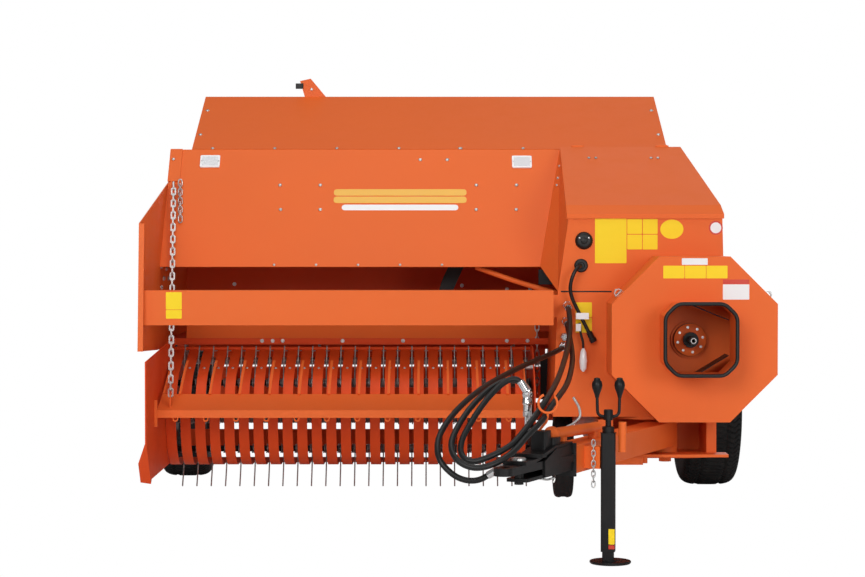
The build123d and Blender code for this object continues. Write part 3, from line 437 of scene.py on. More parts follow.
def prism(outline, low, high, way):
    # an outline in two directions carried along the third: way 0 is X, 1 is Y, 2 is Z
    flat = np.asarray(outline, float)
    area = np.sum(flat[:, 0] * np.roll(flat[:, 1], -1) - flat[:, 1] * np.roll(flat[:, 0], -1))
    if (area < 0) != (way == 1):
        flat = flat[::-1]
    points = np.concatenate([np.insert(flat, way, level, axis=1) for level in (low, high)])
    return points, ringFaces(2, len(flat))


def brick(x, y, z, corner=0.002):
    # a box with its four upright edges rounded
    plan = roundRect(x[1] - x[0], y[1] - y[0], corner) + ((x[0] + x[1]) / 2, (y[0] + y[1]) / 2)
    return prism(plan, *z, 2)


def beam(x, y, z):  # a box with sharp edges, along X
    return prism([(y[0], z[0]), (y[1], z[0]), (y[1], z[1]), (y[0], z[1])], *x, 0)


def tubeAlong(path, radius, sides=16):
    # each ring's side direction is the last ring's, made square to the path again
    path = np.asarray(path, float)
    ahead = np.gradient(path, axis=0)
    ahead /= np.linalg.norm(ahead, axis=1)[:, None]
    side = np.cross(ahead[0], (0.31, 0.62, 0.72))
    ring = circle(radius, sides)
    rings = []
    for here, forward in zip(path, ahead):
        side = side - forward * np.dot(side, forward)
        side /= np.linalg.norm(side)
        rings.append(here + ring[:, :1] * side + ring[:, 1:] * np.cross(forward, side))
    return np.concatenate(rings), ringFaces(len(path), sides)


def rodBetween(a, b, radius, sides=16):  # a straight tube
    return tubeAlong([a, (np.array(a) + np.array(b)) / 2, b], radius, sides)


def chainBetween(top, foot, count, wire, half):
    # oval links, each a quarter turn on from the last
    top, foot = np.array(top), np.array(foot)
    step = (foot - top) / count
    reach = np.linalg.norm(step) / 2 + 1.6 * wire
    turn = 2 * np.pi * np.arange(20) / 20
    bulge = np.sign(np.cos(turn)) * np.abs(np.cos(turn)) ** 0.8
    parts = []
    for index in range(count):
        flat = np.stack([0 * turn, 0 * turn, reach * bulge], -1)
        flat[:, index % 2] = half * np.sin(turn)
        up = (0, 1, 0) if index % 2 == 0 else (1, 0, 0)
        parts.append(along(flat + top + step * (index + 0.5), circle(wire, 8), closed=True, up=up))
    return joined(parts)


# Hoses from the unions to the hitch, and the lamp cable: control points of each route, in metres
routes = {
    "hoseInner": {"diameter": 0.021, "body": "drawbar", "points": (
        (0.491, -1.050, 0.911), (0.4915, -1.130, 0.896), (0.490, -1.250, 0.828), (0.468, -1.430, 0.762),
        (0.441, -1.640, 0.718), (0.409, -1.860, 0.677), (0.377, -2.030, 0.643), (0.3407, -2.170, 0.6074),
        (0.305, -2.262, 0.568), (0.266, -2.335, 0.527), (0.221, -2.390, 0.4795), (0.172, -2.420, 0.454),
        (0.124, -2.435, 0.434), (0.086, -2.435, 0.422), (0.053, -2.425, 0.431), (0.039, -2.400, 0.459),
        (0.047, -2.370, 0.497), (0.069, -2.340, 0.534), (0.101, -2.300, 0.582), (0.136, -2.260, 0.626),
        (0.175, -2.225, 0.663), (0.207, -2.205, 0.6855), (0.236, -2.198, 0.691), (0.258, -2.197, 0.6745),
        (0.2743, -2.200, 0.6457))},
    "hoseMiddle": {"diameter": 0.021, "body": "drawbar", "points": (
        (0.486, -1.050, 0.846), (0.4865, -1.125, 0.833), (0.490, -1.250, 0.775), (0.488, -1.430, 0.722),
        (0.468, -1.640, 0.686), (0.440, -1.860, 0.650), (0.405, -2.030, 0.6245), (0.3637, -2.170, 0.5934),
        (0.326, -2.272, 0.548), (0.270, -2.355, 0.505), (0.230, -2.410, 0.4625), (0.185, -2.450, 0.433),
        (0.137, -2.470, 0.412), (0.090, -2.475, 0.405), (0.051, -2.465, 0.415), (0.0225, -2.450, 0.436),
        (0.008, -2.420, 0.465), (0.011, -2.385, 0.495), (0.0305, -2.340, 0.532), (0.060, -2.290, 0.575),
        (0.102, -2.235, 0.620), (0.147, -2.190, 0.6555), (0.191, -2.160, 0.678), (0.232, -2.145, 0.684),
        (0.264, -2.140, 0.6695), (0.2836, -2.140, 0.6414))},
    "hoseOuter": {"diameter": 0.021, "body": "drawbar", "points": (
        (0.476, -1.050, 0.745), (0.464, -1.120, 0.741), (0.424, -1.225, 0.729), (0.371, -1.330, 0.714),
        (0.292, -1.500, 0.694), (0.211, -1.680, 0.668), (0.139, -1.840, 0.640), (0.085, -1.970, 0.611),
        (0.034, -2.080, 0.574), (-0.007, -2.170, 0.532), (-0.034, -2.240, 0.489), (-0.039, -2.290, 0.4505),
        (-0.030, -2.315, 0.415), (-0.0035, -2.325, 0.3835), (0.030, -2.330, 0.358), (0.0685, -2.333, 0.3465),
        (0.107, -2.331, 0.349), (0.140, -2.3325, 0.368), (0.1707, -2.3457, 0.388))},
    "lampCable": {"diameter": 0.015, "body": "chassis", "points": (
        (0.545, -1.010, 1.072), (0.543, -1.040, 1.071), (0.522, -1.062, 1.056), (0.506, -1.064, 1.019),
        (0.4995, -1.058, 0.978), (0.510, -1.050, 0.936), (0.532, -1.040, 0.892), (0.556, -1.034, 0.846),
        (0.579, -1.030, 0.800))},
}
ferrule = {"radius": 0.0135, "length": 0.042}
cablePlug = {  # two ends and a radius
    "body": ((0.579, -1.030, 0.802), (0.597, -1.024, 0.768), 0.012),
    "collar": ((0.592, -1.0257, 0.777), (0.599, -1.0235, 0.764), 0.0145),
}


def routeLine(points):
    # places read from the smooth spline that has the route's points as its controls
    curve = bpy.data.curves.new("route", "CURVE")
    curve.dimensions = "3D"
    curve.resolution_u = 8
    spline = curve.splines.new("NURBS")
    spline.points.add(len(points) - 1)
    spline.points.foreach_set("co", np.insert(np.array(points), 3, 1.0, axis=1).ravel())
    spline.order_u = 3
    spline.use_endpoint_u = True
    holder = bpy.data.objects.new("route", curve)
    bpy.context.scene.collection.objects.link(holder)
    mesh = bpy.data.meshes.new_from_object(holder)
    line = np.array([vertex.co for vertex in mesh.vertices])
    bpy.data.objects.remove(holder)
    bpy.data.curves.remove(curve)
    bpy.data.meshes.remove(mesh)
    return line


def makeCords():
    # each hose or cable is a tube along its route; a hose also has a ferrule at either end
    ends = {"chassis": [], "drawbar": []}
    halves = joined([rodBetween(*half, 20) for half in cablePlug.values()])
    plug = newPiece("cablePlug", halves, "blackRubber", "chassis")
    for name, route in routes.items():
        line = routeLine(route["points"])
        shape = tubeAlong(line, route["diameter"] / 2)
        crosses = route["body"] == "drawbar"
        piece = newPiece(name, shape, "blackRubber", None if crosses else "chassis")
        if crosses:
            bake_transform(piece)
            for body, end, inner in (("chassis", line[0], line[3]), ("drawbar", line[-1], line[-4])):
                foot = end + (inner - end) / np.linalg.norm(inner - end) * ferrule["length"]
                ends[body].append(rodBetween(end, foot, ferrule["radius"]))
    for body, parts in ends.items():
        newPiece("ferrules" + body.capitalize(), joined(parts), "chrome", body)


makeCords()
print("hoses and cable laid")


# Tyres: the section is two quarter superellipses, the tread is cut by zigzag grooves
tyres = {  # the grid counts points round the wheel and across the section
    "left": {"node": "tyre_left", "body": "wheel_left", "width": 0.264, "rim": 0.389,
             "pitches": 44, "depth": 0.009, "grid": (440, 66)},
    "right": {"node": "tyre_right", "body": "wheel_right", "width": 0.240, "rim": 0.389,
              "pitches": 42, "depth": 0.009, "grid": (440, 66)},
    "gauge": {"node": "gauge_tyre", "body": "gauge_wheel", "width": 0.080, "rim": 0.236,
              "pitches": 0, "depth": 0.00405, "grid": (160, 40)},
}
tread = {
    "belly": 0.52,  # where the section is widest, from the bead to the crown
    "squareness": 0.52,
    "bead": 148,  # degrees round the section from the crown
    "depthFades": (0.055, 0.030),  # below the crown, where grooves end and where they are full
    "sway": (0.36, 1.5, 0.25),  # how far a groove zigzags, how often over half the width, its lean
    "grooveEdge": (0.20, 0.34),
    "laneEdge": (0.030, 0.075),
    "lanes": (-0.42, 0.0, 0.42),  # grooves round the tyre, as parts of its half width
    "plainGroove": 0.16,  # the same on the gauge wheel, as part of its width
    "rings": (0.0012, 0.016),  # height and spacing of the moulded rings on the sidewall
}


def zigzag(x):  # a triangle wave from -1 to 1 with period 1
    return 4 * np.abs(x - np.floor(x + 0.5)) - 1


def smoothEdge(x, low, high):  # 0 below low, 1 above high, an S between
    t = np.clip((x - low) / (high - low), 0, 1)
    return t * t * (3 - 2 * t)


def makeTyre(side, facts):
    low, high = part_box(facts["node"])
    centre = (np.array(low) + np.array(high)) / 2
    crown = (high.z - low.z) / 2
    bead = facts["rim"] / 2 + 0.001
    belly = bead + tread["belly"] * (crown - bead)
    width = facts["width"]
    around, across = facts["grid"]
    turn = 2 * np.pi * np.arange(around)[:, None] / around
    phi = np.radians(np.linspace(-tread["bead"], tread["bead"], across))[None, :]
    # outwards from the belly the radius follows |cos|^e to the crown; inwards it falls to the bead
    e = tread["squareness"]
    cosine = np.cos(phi)
    x = 0.5 * width * np.sign(phi) * np.abs(np.sin(phi)) ** (e + 0.25 * (cosine < 0))
    rise = np.where(cosine > 0, (crown - belly) * np.abs(cosine) ** e, 0)
    fall = np.where(cosine < 0, (belly - bead) * (cosine / math.cos(math.radians(tread["bead"]))), 0)
    radius = belly + rise - fall
    fadeOut, full = tread["depthFades"]
    top = smoothEdge(radius, crown - fadeOut, crown - full)
    if facts["pitches"]:
        s = turn / (2 * np.pi) * facts["pitches"]
        half = x / (0.5 * width)
        sway, often, lean = tread["sway"]
        lateral = np.abs(zigzag(s + sway * np.abs(zigzag(often * half + 0.25)) + lean * half))
        cut = 1 - smoothEdge(lateral, *tread["grooveEdge"])
        for offset in tread["lanes"]:
            lane = np.abs(half - offset - 0.05 * zigzag(s))
            cut = np.maximum(cut, 1 - smoothEdge(lane, *tread["laneEdge"]))
    else:
        cut = 1 - smoothEdge(np.abs(np.abs(x / width) - tread["plainGroove"]), 0.03, 0.06) + 0 * turn
    radius = radius - facts["depth"] * cut * top
    ridge, spacing = tread["rings"]
    rings = ridge * np.cos((radius - bead) * 2 * np.pi / spacing) * (1 - top) * (cosine > -0.3)
    swollen = x + np.sign(x) * (rings - 0.0015) + 0 * turn
    points = np.stack([swollen, radius * np.cos(turn), radius * np.sin(turn)], -1) + centre
    faces = gridFaces(around, across, closeRows=True, closeColumns=True).tolist()
    name = "tread" + side.capitalize()
    piece = newPiece(name, (points.reshape(-1, 3), faces), "tyreRubber", facts["body"])
    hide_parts(facts["node"])


for side, facts in tyres.items():
    makeTyre(side, facts)
print("tyres made")


# Fasteners on the sheets
hoodNormal = (0, -0.4241, 0.9056)
panelNormal = (0, -0.7845, 0.6201)
frontNormal = (0, -1, 0)
leanNormal = (-0.82, -0.46, -0.34)


def rowOf(first, pitch, count, y, z):  # places at even steps along X
    return [(first + pitch * i, y, z) for i in range(count)]


sheetBolts = {  # size, normal and places of each group
    "hood": (0.017, hoodNormal, (
        (-1.085, 0.1155, 1.7667), (-1.089, -0.1471, 1.6436),
        (0.948, 0.1155, 1.7667), (0.952, -0.1471, 1.6436))),
    "panel": (0.016, panelNormal, (
        (-0.714, -0.4265, 1.412), (-0.540, -0.4265, 1.412), (0.135, -0.4265, 1.412), (0.309, -0.4265, 1.412),
        (-0.706, -0.511, 1.305), (-0.536, -0.511, 1.305), (0.133, -0.511, 1.305), (0.305, -0.511, 1.305),
        (-0.108, -0.3371, 1.525), (0.010, -0.3371, 1.525))),
    "seam": (0.015, hoodNormal, rowOf(-1.0194, 0.2725, 6, -0.290, 1.577) + [(0.065, -0.290, 1.577)]),
    "panelFoot": (0.012, panelNormal, rowOf(-0.7206, 0.1765, 5, -0.6965, 1.0704)),
}
apronBolts = {"size": 0.011, "turn": 0.3, "y": -0.450, "z": 0.7395,
              "xs": (-0.791, -0.746, -0.702, -0.443, -0.182, 0.077, 0.267, 0.356)}


def makeSheetBolts():
    # pan heads on the hood and the panel, hexagons along the apron
    parts = [scattered(domeBolt(size), places, normal) for size, normal, places in sheetBolts.values()]
    apron = [(x, apronBolts["y"], apronBolts["z"]) for x in apronBolts["xs"]]
    parts.append(scattered(hexBolt(apronBolts["size"]), apron, frontNormal, apronBolts["turn"]))
    newPiece("sheetBolts", joined(parts), "galvanised", "chassis")


makeSheetBolts()

# Blank plates, reflectors and the stripes on the front panel
plates = {  # finish, centre, width, height, corner; all face the front
    "bookPlate": ("yellowFilm", (0.669, -1.0, 1.172), 0.128, 0.182, 0.003),
    "signUpperLeft": ("yellowFilm", (0.766, -1.0, 1.230), 0.060, 0.060, 0.003),
    "signUpperRight": ("yellowFilm", (0.829, -1.0, 1.230), 0.060, 0.060, 0.003),
    "signLowerLeft": ("yellowFilm", (0.766, -1.0, 1.167), 0.060, 0.060, 0.003),
    "signLowerRight": ("yellowFilm", (0.829, -1.0, 1.167), 0.060, 0.060, 0.003),
    "wallPlateUpper": ("yellowFilm", (0.560, -1.0, 0.892), 0.066, 0.060, 0.003),
    "wallPlateLower": ("yellowFilm", (0.560, -1.0, 0.829), 0.066, 0.060, 0.003),
    "beamPlateUpper": ("yellowFilm", (-1.0687, -1.3, 0.937), 0.062, 0.068, 0.003),
    "beamPlateLower": ("yellowFilm", (-1.0687, -1.3, 0.884), 0.062, 0.034, 0.003),
    "guardPlateWhite": ("whiteFilm", (0.979, -1.254, 1.0905), 0.102, 0.026, 0.003),
    "guardPlateOne": ("yellowFilm", (0.8965, -1.254, 1.049), 0.083, 0.050, 0.003),
    "guardPlateTwo": ("yellowFilm", (0.9815, -1.254, 1.049), 0.083, 0.050, 0.003),
    "guardPlateThree": ("yellowFilm", (1.0665, -1.254, 1.049), 0.083, 0.050, 0.003),
    "cornerPlateTop": ("redFilm", (1.142, -1.254, 1.0105), 0.104, 0.018, 0.002),
    "cornerPlateLow": ("whiteFilm", (1.142, -1.254, 0.9705), 0.104, 0.060, 0.002),
}
roundPlates = {  # finish, centre, half width, half height, thickness
    "ovalPlate": ("yellowFilm", (0.917, -1.0, 1.219), 0.047, 0.039, 0.0008),
    "dotPlate": ("whiteFilm", (1.0954, -1.0, 1.2249), 0.022, 0.022, 0.0008),
    "dotRing": ("redFilm", (1.0954, -1.0, 1.2249), 0.0285, 0.0285, 0.0005),
}
plateWall = 0.0008


def makePlates():
    # thin slabs with round corners, and three ovals
    for name, (finish, centre, width, height, corner) in plates.items():
        shape = slab(roundRect(width, height, corner), plateWall, centre, frontNormal)
        newPiece(name, shape, finish, "chassis", smooth=False)
    for name, (finish, centre, across, up, wall) in roundPlates.items():
        shape = slab(circle(1.0, 40) * (across, up), wall, centre, frontNormal)
        newPiece(name, shape, finish, "chassis", smooth=False)


makePlates()

reflector = {
    "width": 0.086, "height": 0.067, "wall": 0.006, "rim": 0.008, "pyramids": (15, 11), "peak": 0.0016,
    "places": ((-1.025, -0.344, 1.5163), (0.3353, -0.3458, 1.5141)), "corner": 0.006, "screw": 0.007,
}


def makeReflectors():
    # a moulded frame with a field of small pyramids: height is the lower of two triangle waves
    w, h, wall, corner, places = (reflector[k] for k in ("width", "height", "wall", "corner", "places"))
    frames = [slab(roundRect(w, h, corner), wall, place, panelNormal) for place in places]
    newPiece("reflectorFrames", joined(frames), "whiteFilm", "chassis")
    wide, tall = reflector["pyramids"]
    count = (4 * wide + 1, 4 * tall + 1)
    u = np.linspace(-0.5, 0.5, count[0])[:, None]
    v = np.linspace(-0.5, 0.5, count[1])[None, :]
    peak = np.minimum(1 - np.abs(zigzag(u * wide)), 1 - np.abs(zigzag(v * tall))) * reflector["peak"]
    inset = 2 * reflector["rim"]
    flat = np.stack([u * (w - inset) + 0 * v, v * (h - inset) + 0 * u, wall + 0.0002 + peak], -1)
    out = frameAlong(panelNormal)[2]
    rows = np.stack([(1.0, 0, 0), np.cross(out, (1.0, 0, 0)), out])
    field = (flat.reshape(-1, 3) @ rows, gridFaces(*count)[:, ::-1].tolist())
    fields = joined([moved(field, place) for place in places])
    newPiece("reflectorFields", fields, "reflectorGlass", "chassis", smooth=False)
    ear = w / 2 - corner
    ears = [place + out * wall + (side * ear, 0, 0) for place in np.array(places) for side in (-1, 1)]
    fasten("reflectorScrews", domeBolt(reflector["screw"]), ears, panelNormal)


makeReflectors()

stripes = {
    "centre": (-0.194, -0.4645, 1.364), "wall": 0.0007, "end": 0.013,
    "rows": (  # finish, half length, offset up the slope, height
        ("amberFilm", 0.286, 0.0205, 0.036),
        ("amberFilm", 0.286, -0.0205, 0.036),
        ("whiteFilm", 0.250, -0.0630, 0.031),
    ),
}


def makeStripes():
    # plain bands with round ends, on the panel's slope
    up = np.cross(panelNormal, (1.0, 0.0, 0.0))
    for i, (finish, half, offset, high) in enumerate(stripes["rows"]):
        centre = np.array(stripes["centre"]) + up * offset
        band = slab(roundRect(2 * half, high, stripes["end"]), stripes["wall"], centre, panelNormal)
        newPiece(f"stripe{i}", band, finish, "chassis", smooth=False)


makeStripes()
print("plates and stripes laid")


# Input side: guard collar edging, flange bolts, latches, cap and grommet
collar = {"centre": (0.982, 0.790), "half": 0.139, "cut": 0.048, "y": -1.445, "tube": 0.0075, "bend": 0.022}


def makeCollarEdge():
    # an octagon's eight corners, with the edging carried round them
    half, flat = collar["half"], collar["half"] - collar["cut"]
    corners = [(half, -flat), (half, flat), (flat, half), (-flat, half),
               (-half, flat), (-half, -flat), (-flat, -half), (flat, -half)]
    x, z = (np.array(corners) + collar["centre"]).T
    path = rounded(np.stack([x, np.full(8, collar["y"]), z], -1), collar["bend"], closed=True)
    edge = along(path, circle(collar["tube"], 12), closed=True, up=(0, 1, 0))
    piece = newPiece("collarEdge", edge, "blackRubber", "chassis")
    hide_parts("guard_rim")


makeCollarEdge()

flange = {
    "centre": (0.980, -1.100, 0.775), "boltCircle": 0.0508, "bolts": 8, "size": 0.011,
    "face": ((0.0655, 0.0), (0.0655, 0.003), (0.0630, 0.0045),
             (0.034, 0.0045), (0.034, 0.010), (0.0315, 0.012)),
    "shaftEnd": (0.980, -1.216, 0.775),
    "centreDrill": ((0.011, 0.0), (0.011, 0.0012), (0.009, 0.0012), (0.003, -0.004)),
}


def makeFlange():
    # a turned face with a circle of bolts, and the centre hole in the shaft's end
    angle = 2 * np.pi * (np.arange(flange["bolts"]) + 0.25) / flange["bolts"]
    circling = np.stack([np.cos(angle), 0 * angle, np.sin(angle)], -1) * flange["boltCircle"]
    places = circling + flange["centre"]
    fasten("flangeBolts", hexBolt(flange["size"]), places, frontNormal, "flywheel")
    face = scattered(turned(flange["face"], 64), [flange["centre"]], frontNormal)
    newPiece("flangeFace", face, "orangePaint", "flywheel")
    drill = turned(flange["centreDrill"], 24)
    fasten("shaftEnd", drill, [flange["shaftEnd"]], frontNormal, "flywheel")


makeFlange()

baffles = {  # the two ends of each as x and z, where they start in y, half their thickness, their depth
    "ends": (((1.1145, 0.860), (0.967, 0.920)), ((1.1145, 0.7196), (0.994, 0.6467))),
    "y": -1.250, "half": 0.0015, "deep": 0.11,
}


def makeGuardInside():
    # two slanting plates inside the collar
    half, deep, y = baffles["half"], baffles["deep"], baffles["y"]
    ring = [(-half, 0.0), (half, 0.0), (half, deep), (-half, deep)]
    parts = []
    for start, end in baffles["ends"]:
        path = np.linspace((start[0], y, start[1]), (end[0], y, end[1]), 3)
        parts.append(along(path, ring, up=(0, 1, 0)))
    newPiece("guardBaffles", joined(parts), "blackPaint", "chassis", smooth=False)


makeGuardInside()

cap = {
    "place": (0.5602, -1.0, 1.1726), "radius": 0.036, "height": 0.017, "ribs": (24, 0.0006), "screws": 0.008,
    "hub": ((0.014, 0.014), (0.014, 0.0195), (0.012, 0.021)),
    "grommetPlace": (0.5485, -1.0, 1.0715),
    "grommet": ((0.0275, 0.0), (0.0275, 0.006), (0.023, 0.010), (0.0145, 0.010), (0.0125, 0.004)),
}


def makeCap():
    # a ribbed knob: the rim's radius waves round the turn; two small screws
    around, rows = 96, 14
    angle = 2 * np.pi * np.arange(around)[None, :] / around
    s = np.linspace(0, 1, rows)[:, None]
    ribs, depth = cap["ribs"]
    radius = cap["radius"] * np.cos(s * np.pi / 2) ** 0.35 + depth * np.cos(ribs * angle) * (s < 0.5)
    height = cap["height"] * np.sin(s * np.pi / 2) ** 1.2 + 0 * angle
    points = np.stack([radius * np.cos(angle), radius * np.sin(angle), height], -1).reshape(-1, 3)
    dome = (points, gridFaces(rows, around, closeColumns=True).tolist())
    parts = [scattered(shape, [cap["place"]], frontNormal) for shape in (dome, turned(cap["hub"], 28))]
    parts.append(scattered(turned(cap["grommet"], 40), [cap["grommetPlace"]], frontNormal))
    piece = newPiece("hoodCap", joined(parts), "blackRubber", "chassis")
    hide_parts("hood_caps")
    screws = [np.array(cap["place"]) + (dx, -0.015, 0.011) for dx in (-0.019, 0.019)]
    fasten("capScrews", domeBolt(cap["screws"]), screws, frontNormal)


makeCap()

unions = {
    "places": ((0.491, -1.0, 0.911), (0.486, -1.0, 0.846), (0.482, -1.0, 0.782), (0.476, -1.0, 0.745)),
    "nut": ((0.0185, 0.0), (0.0185, 0.018), (0.0165, 0.021)),
    "sleeve": ((0.0125, 0.020), (0.0125, 0.034), (0.0140, 0.036), (0.0140, 0.046), (0.0125, 0.048)),
}


def makeUnions():
    # hexagon nuts and collars of the hose unions on the hood's lower wall
    shape = joined([turned(unions["nut"], 6), turned(unions["sleeve"], 24)])
    nuts = scattered(shape, unions["places"], frontNormal)
    piece = newPiece("unionNuts", nuts, "chrome", "chassis")
    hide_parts("hose_unions")


makeUnions()

latches = {  # places with their lean in degrees; the handle's bow as sideways and outward steps
    "places": (((0.690, -1.13, 0.962), 45), ((1.283, -1.13, 0.953), -45)), "base": (0.036, 0.05, 0.004),
    "bow": ((-0.016, 0.004), (-0.010, 0.016), (0.010, 0.016), (0.016, 0.006)), "strap": (0.012, 0.0015),
    "screw": 0.010, "screwLift": 0.016,
}


def makeLatches():
    # an over-centre catch: base, bowed handle and a screw
    width, length, wall = latches["base"]
    half, thin = latches["strap"]
    ring = [(-half, -thin), (half, -thin), (half, thin), (-half, thin)]
    parts = []
    for centre, lean in latches["places"]:
        a = math.radians(lean)
        out = np.array((-math.sin(a), 0.0, math.cos(a)))
        sideways = np.array((math.cos(a), 0.0, math.sin(a)))
        parts.append(slab(roundRect(width, length, 0.004), wall, centre, out, sideways))
        bow = [centre + sideways * s + out * o for s, o in latches["bow"]]
        parts.append(along(rounded(bow, 0.008), ring, up=out))
        parts.append(scattered(hexBolt(latches["screw"]), [centre + out * latches["screwLift"]], out))
    newPiece("guardLatches", joined(parts), "galvanised", "chassis")


makeLatches()

lidBolts = {"xs": (0.6198, 0.6496, 0.8878, 0.9173), "y": -0.4572, "z": 1.5292, "size": 0.013,
            "normal": (0, -0.387, 0.922)}
lidPlaces = [(x, lidBolts["y"], lidBolts["z"]) for x in lidBolts["xs"]]
fasten("lidBolts", domeBolt(lidBolts["size"]), lidPlaces, lidBolts["normal"], "gearbox_lid")
print("drive side trimmed")


# Hitch, couplers, hose ring and jack, in the drawbar's own directions: across, along, up
drawbarFrame = {"pivot": (0.900, -0.920, 0.0), "turn": 24.8}


def onDrawbar(shape):
    return moved(shape, drawbarFrame["pivot"], spinRows(-math.radians(drawbarFrame["turn"])))


hitchPlan = {
    "end": -1.167, "tongueUp": (0.379, 0.406), "halfRear": 0.052, "halfNose": 0.034, "taperAt": -1.600,
    "nose": -1.703, "hole": (-1.690, 0.0165), "wall": 0.012,
    "bricks": (  # x, y and z ranges and corner of the end block, the lower plate, the post and the stop
        ((-0.055, 0.055), (-1.172, -1.157), (0.325, 0.445), 0.002),
        ((-0.040, 0.040), (-1.590, -1.167), (0.346, 0.358), 0.010),
        ((-0.028, 0.028), (-1.396, -1.336), (0.436, 0.505), 0.006),
        ((-0.036, 0.036), (-1.330, -1.262), (0.436, 0.476), 0.008),
    ),
    "cover": ((-1.167, 0.439), (-1.330, 0.439), (-1.520, 0.407), (-1.610, 0.407)), "coverHalf": 0.043,
    "web": ((-1.167, 0.350), (-1.167, 0.440), (-1.330, 0.440), (-1.440, 0.406), (-1.440, 0.350)),
    "webs": (-0.046, 0.034),
    "bar": ((-0.062, -1.520), (0.062, -1.505), (0.066, -1.475), (-0.060, -1.480)), "barUp": (0.424, 0.436),
}
hitchPin = {
    "place": (0.0, -1.568, 0.0), "shank": ((0.016, 0.336), (0.016, 0.408)),
    "head": ((0.016, 0.405), (0.016, 0.419), (0.025, 0.419), (0.025, 0.425), (0.023, 0.428)),
    "clip": ((0.322, -2.165, 0.336), (0.350, -2.150, 0.330), (0.378, -2.135, 0.336), (0.372, -2.140, 0.320)),
    "socket": ((0.1943, -2.3566, 0.400), (0.1707, -2.3457, 0.388), 0.013),
}


def tongueOutline():
    # the outer edge with its round nose, then a slit in to the eye's hole and back
    h = hitchPlan
    nose = np.radians(np.linspace(0, -90, 9))
    right = np.stack([h["halfNose"] * np.cos(nose), h["nose"] + h["halfNose"] * np.sin(nose)], -1)
    hole = np.radians(np.linspace(-90, -450, 33))
    eye = np.stack([h["hole"][1] * np.cos(hole), h["hole"][0] + h["hole"][1] * np.sin(hole)], -1)
    taper, root = (h["halfNose"], h["taperAt"]), (h["halfRear"], h["end"])
    rear = [(-taper[0], taper[1]), (-root[0], root[1]), root, taper]
    return np.concatenate([right, eye, right[::-1] * (-1, 1), rear])


def makeHitch():
    h = hitchPlan
    parts = [brick(*sizes) for sizes in h["bricks"]]
    parts.append(prism(tongueOutline()[::-1], *h["tongueUp"], 2))
    under = [(v, z + h["wall"]) for v, z in h["cover"]]
    parts.append(prism([*h["cover"], *under[::-1]], -h["coverHalf"], h["coverHalf"], 0))
    parts += [prism(h["web"], low, low + h["wall"], 0) for low in h["webs"]]
    parts.append(moved(turned(hitchPin["shank"], 28), hitchPin["place"]))
    parts.append(prism(h["bar"], *h["barUp"], 2))
    piece = newPiece("hitchParts", onDrawbar(joined(parts)), "blackPaint", "drawbar")
    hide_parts("hitch")
    head = onDrawbar(moved(turned(hitchPin["head"], 32), hitchPin["place"]))
    clip = tubeAlong(rounded(hitchPin["clip"], 0.008), 0.004, 8)
    bright = joined([head, clip, rodBetween(*hitchPin["socket"])])
    newPiece("hitchPin", bright, "galvanised", "drawbar")


makeHitch()

couplers = {  # the sleeves' tops, where the elbows end, and each turned shape as radius and height
    "tops": ((0.2743, -2.200, 0.6457), (0.2836, -2.140, 0.6414)),
    "feet": ((0.300, -2.168, 0.488), (0.306, -2.150, 0.486)),
    "sleeve": (
        (0.0100, -0.070), (0.0125, -0.068), (0.0125, -0.046), (0.0150, -0.043), (0.0150, -0.028),
        (0.0135, -0.026), (0.0135, -0.016), (0.0150, -0.014), (0.0150, -0.003), (0.0105, 0.0)),
    "nut": ((0.0125, -0.088), (0.0125, -0.070)),
    "elbow": (0.066, 0.146, 0.0075),  # its top and its bend below the sleeve's top, and its radius
}


def makeCouplers():
    # a stepped sleeve and a hexagon nut, then an elbow into the block
    shapes = []
    start, bend, radius = couplers["elbow"]
    for top, foot in zip(couplers["tops"], couplers["feet"]):
        x, y, z = top
        elbow = rounded([(x, y, z - start), (x, y, z - bend), foot], 0.03)
        shapes += [moved(turned(couplers["sleeve"], 28), top), tubeAlong(elbow, radius, 14)]
        shapes.append(moved(turned(couplers["nut"], 6), top))
    newPiece("hoseCouplers", joined(shapes), "chrome", "drawbar")


makeCouplers()

hoseRing = {
    "centre": (0.3463, -2.250, 0.6076), "radius": 0.033, "wire": 0.0045, "from": 115, "sweep": 290,
    "stem": ((0.3463, -2.250, 0.576), (0.3440, -2.240, 0.545), (0.3185, -2.165, 0.503)),
}


def makeHoseRing():
    # a ring of rod that faces forward, open at its top, on a bent stem
    angle = np.radians(hoseRing["from"] + np.linspace(0, hoseRing["sweep"], 49))
    ring = hoseRing["radius"] * np.stack([np.cos(angle), 0 * angle, np.sin(angle)], -1) + hoseRing["centre"]
    lines = (ring, rounded(hoseRing["stem"], 0.02))
    parts = [tubeAlong(line, hoseRing["wire"], 12) for line in lines]
    piece = newPiece("hoseRing", joined(parts), "orangePaint", "drawbar")
    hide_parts("hose_ring")


makeHoseRing()

jackPlan = {
    "centre": (0.140, -1.037, 0.0), "turn": 16.8, "shift": -0.008,
    "tube": 0.052, "tubeUp": (0.044, 0.475), "leg": 0.042, "legUp": (0.008, 0.400),
    "top": ((0.030, 0.474), (0.030, 0.476), (0.022, 0.476), (0.022, 0.498), (0.0105, 0.500),
            (0.0105, 0.521), (0.0168, 0.522), (0.0168, 0.557), (0.014, 0.560)),
    "crank": (0.041, 0.535, 0.075, 0.0056),  # half its width, its height, its arms and the rod's radius
    "pear": ((0.007, -0.002), (0.009, 0.008), (0.0175, 0.032), (0.0195, 0.043),
             (0.017, 0.056), (0.012, 0.062), (0.011, 0.069), (0.004, 0.071)),
    "foot": ((0.072, 0.0), (0.0755, 0.0035), (0.0755, 0.008),
             (0.0735, 0.010), (0.030, 0.010), (0.028, 0.013)),
    "labels": (("jackLabelLower", "redFilm", 0.062, 0.014), ("jackLabelUpper", "yellowFilm", 0.100, 0.056)),
}


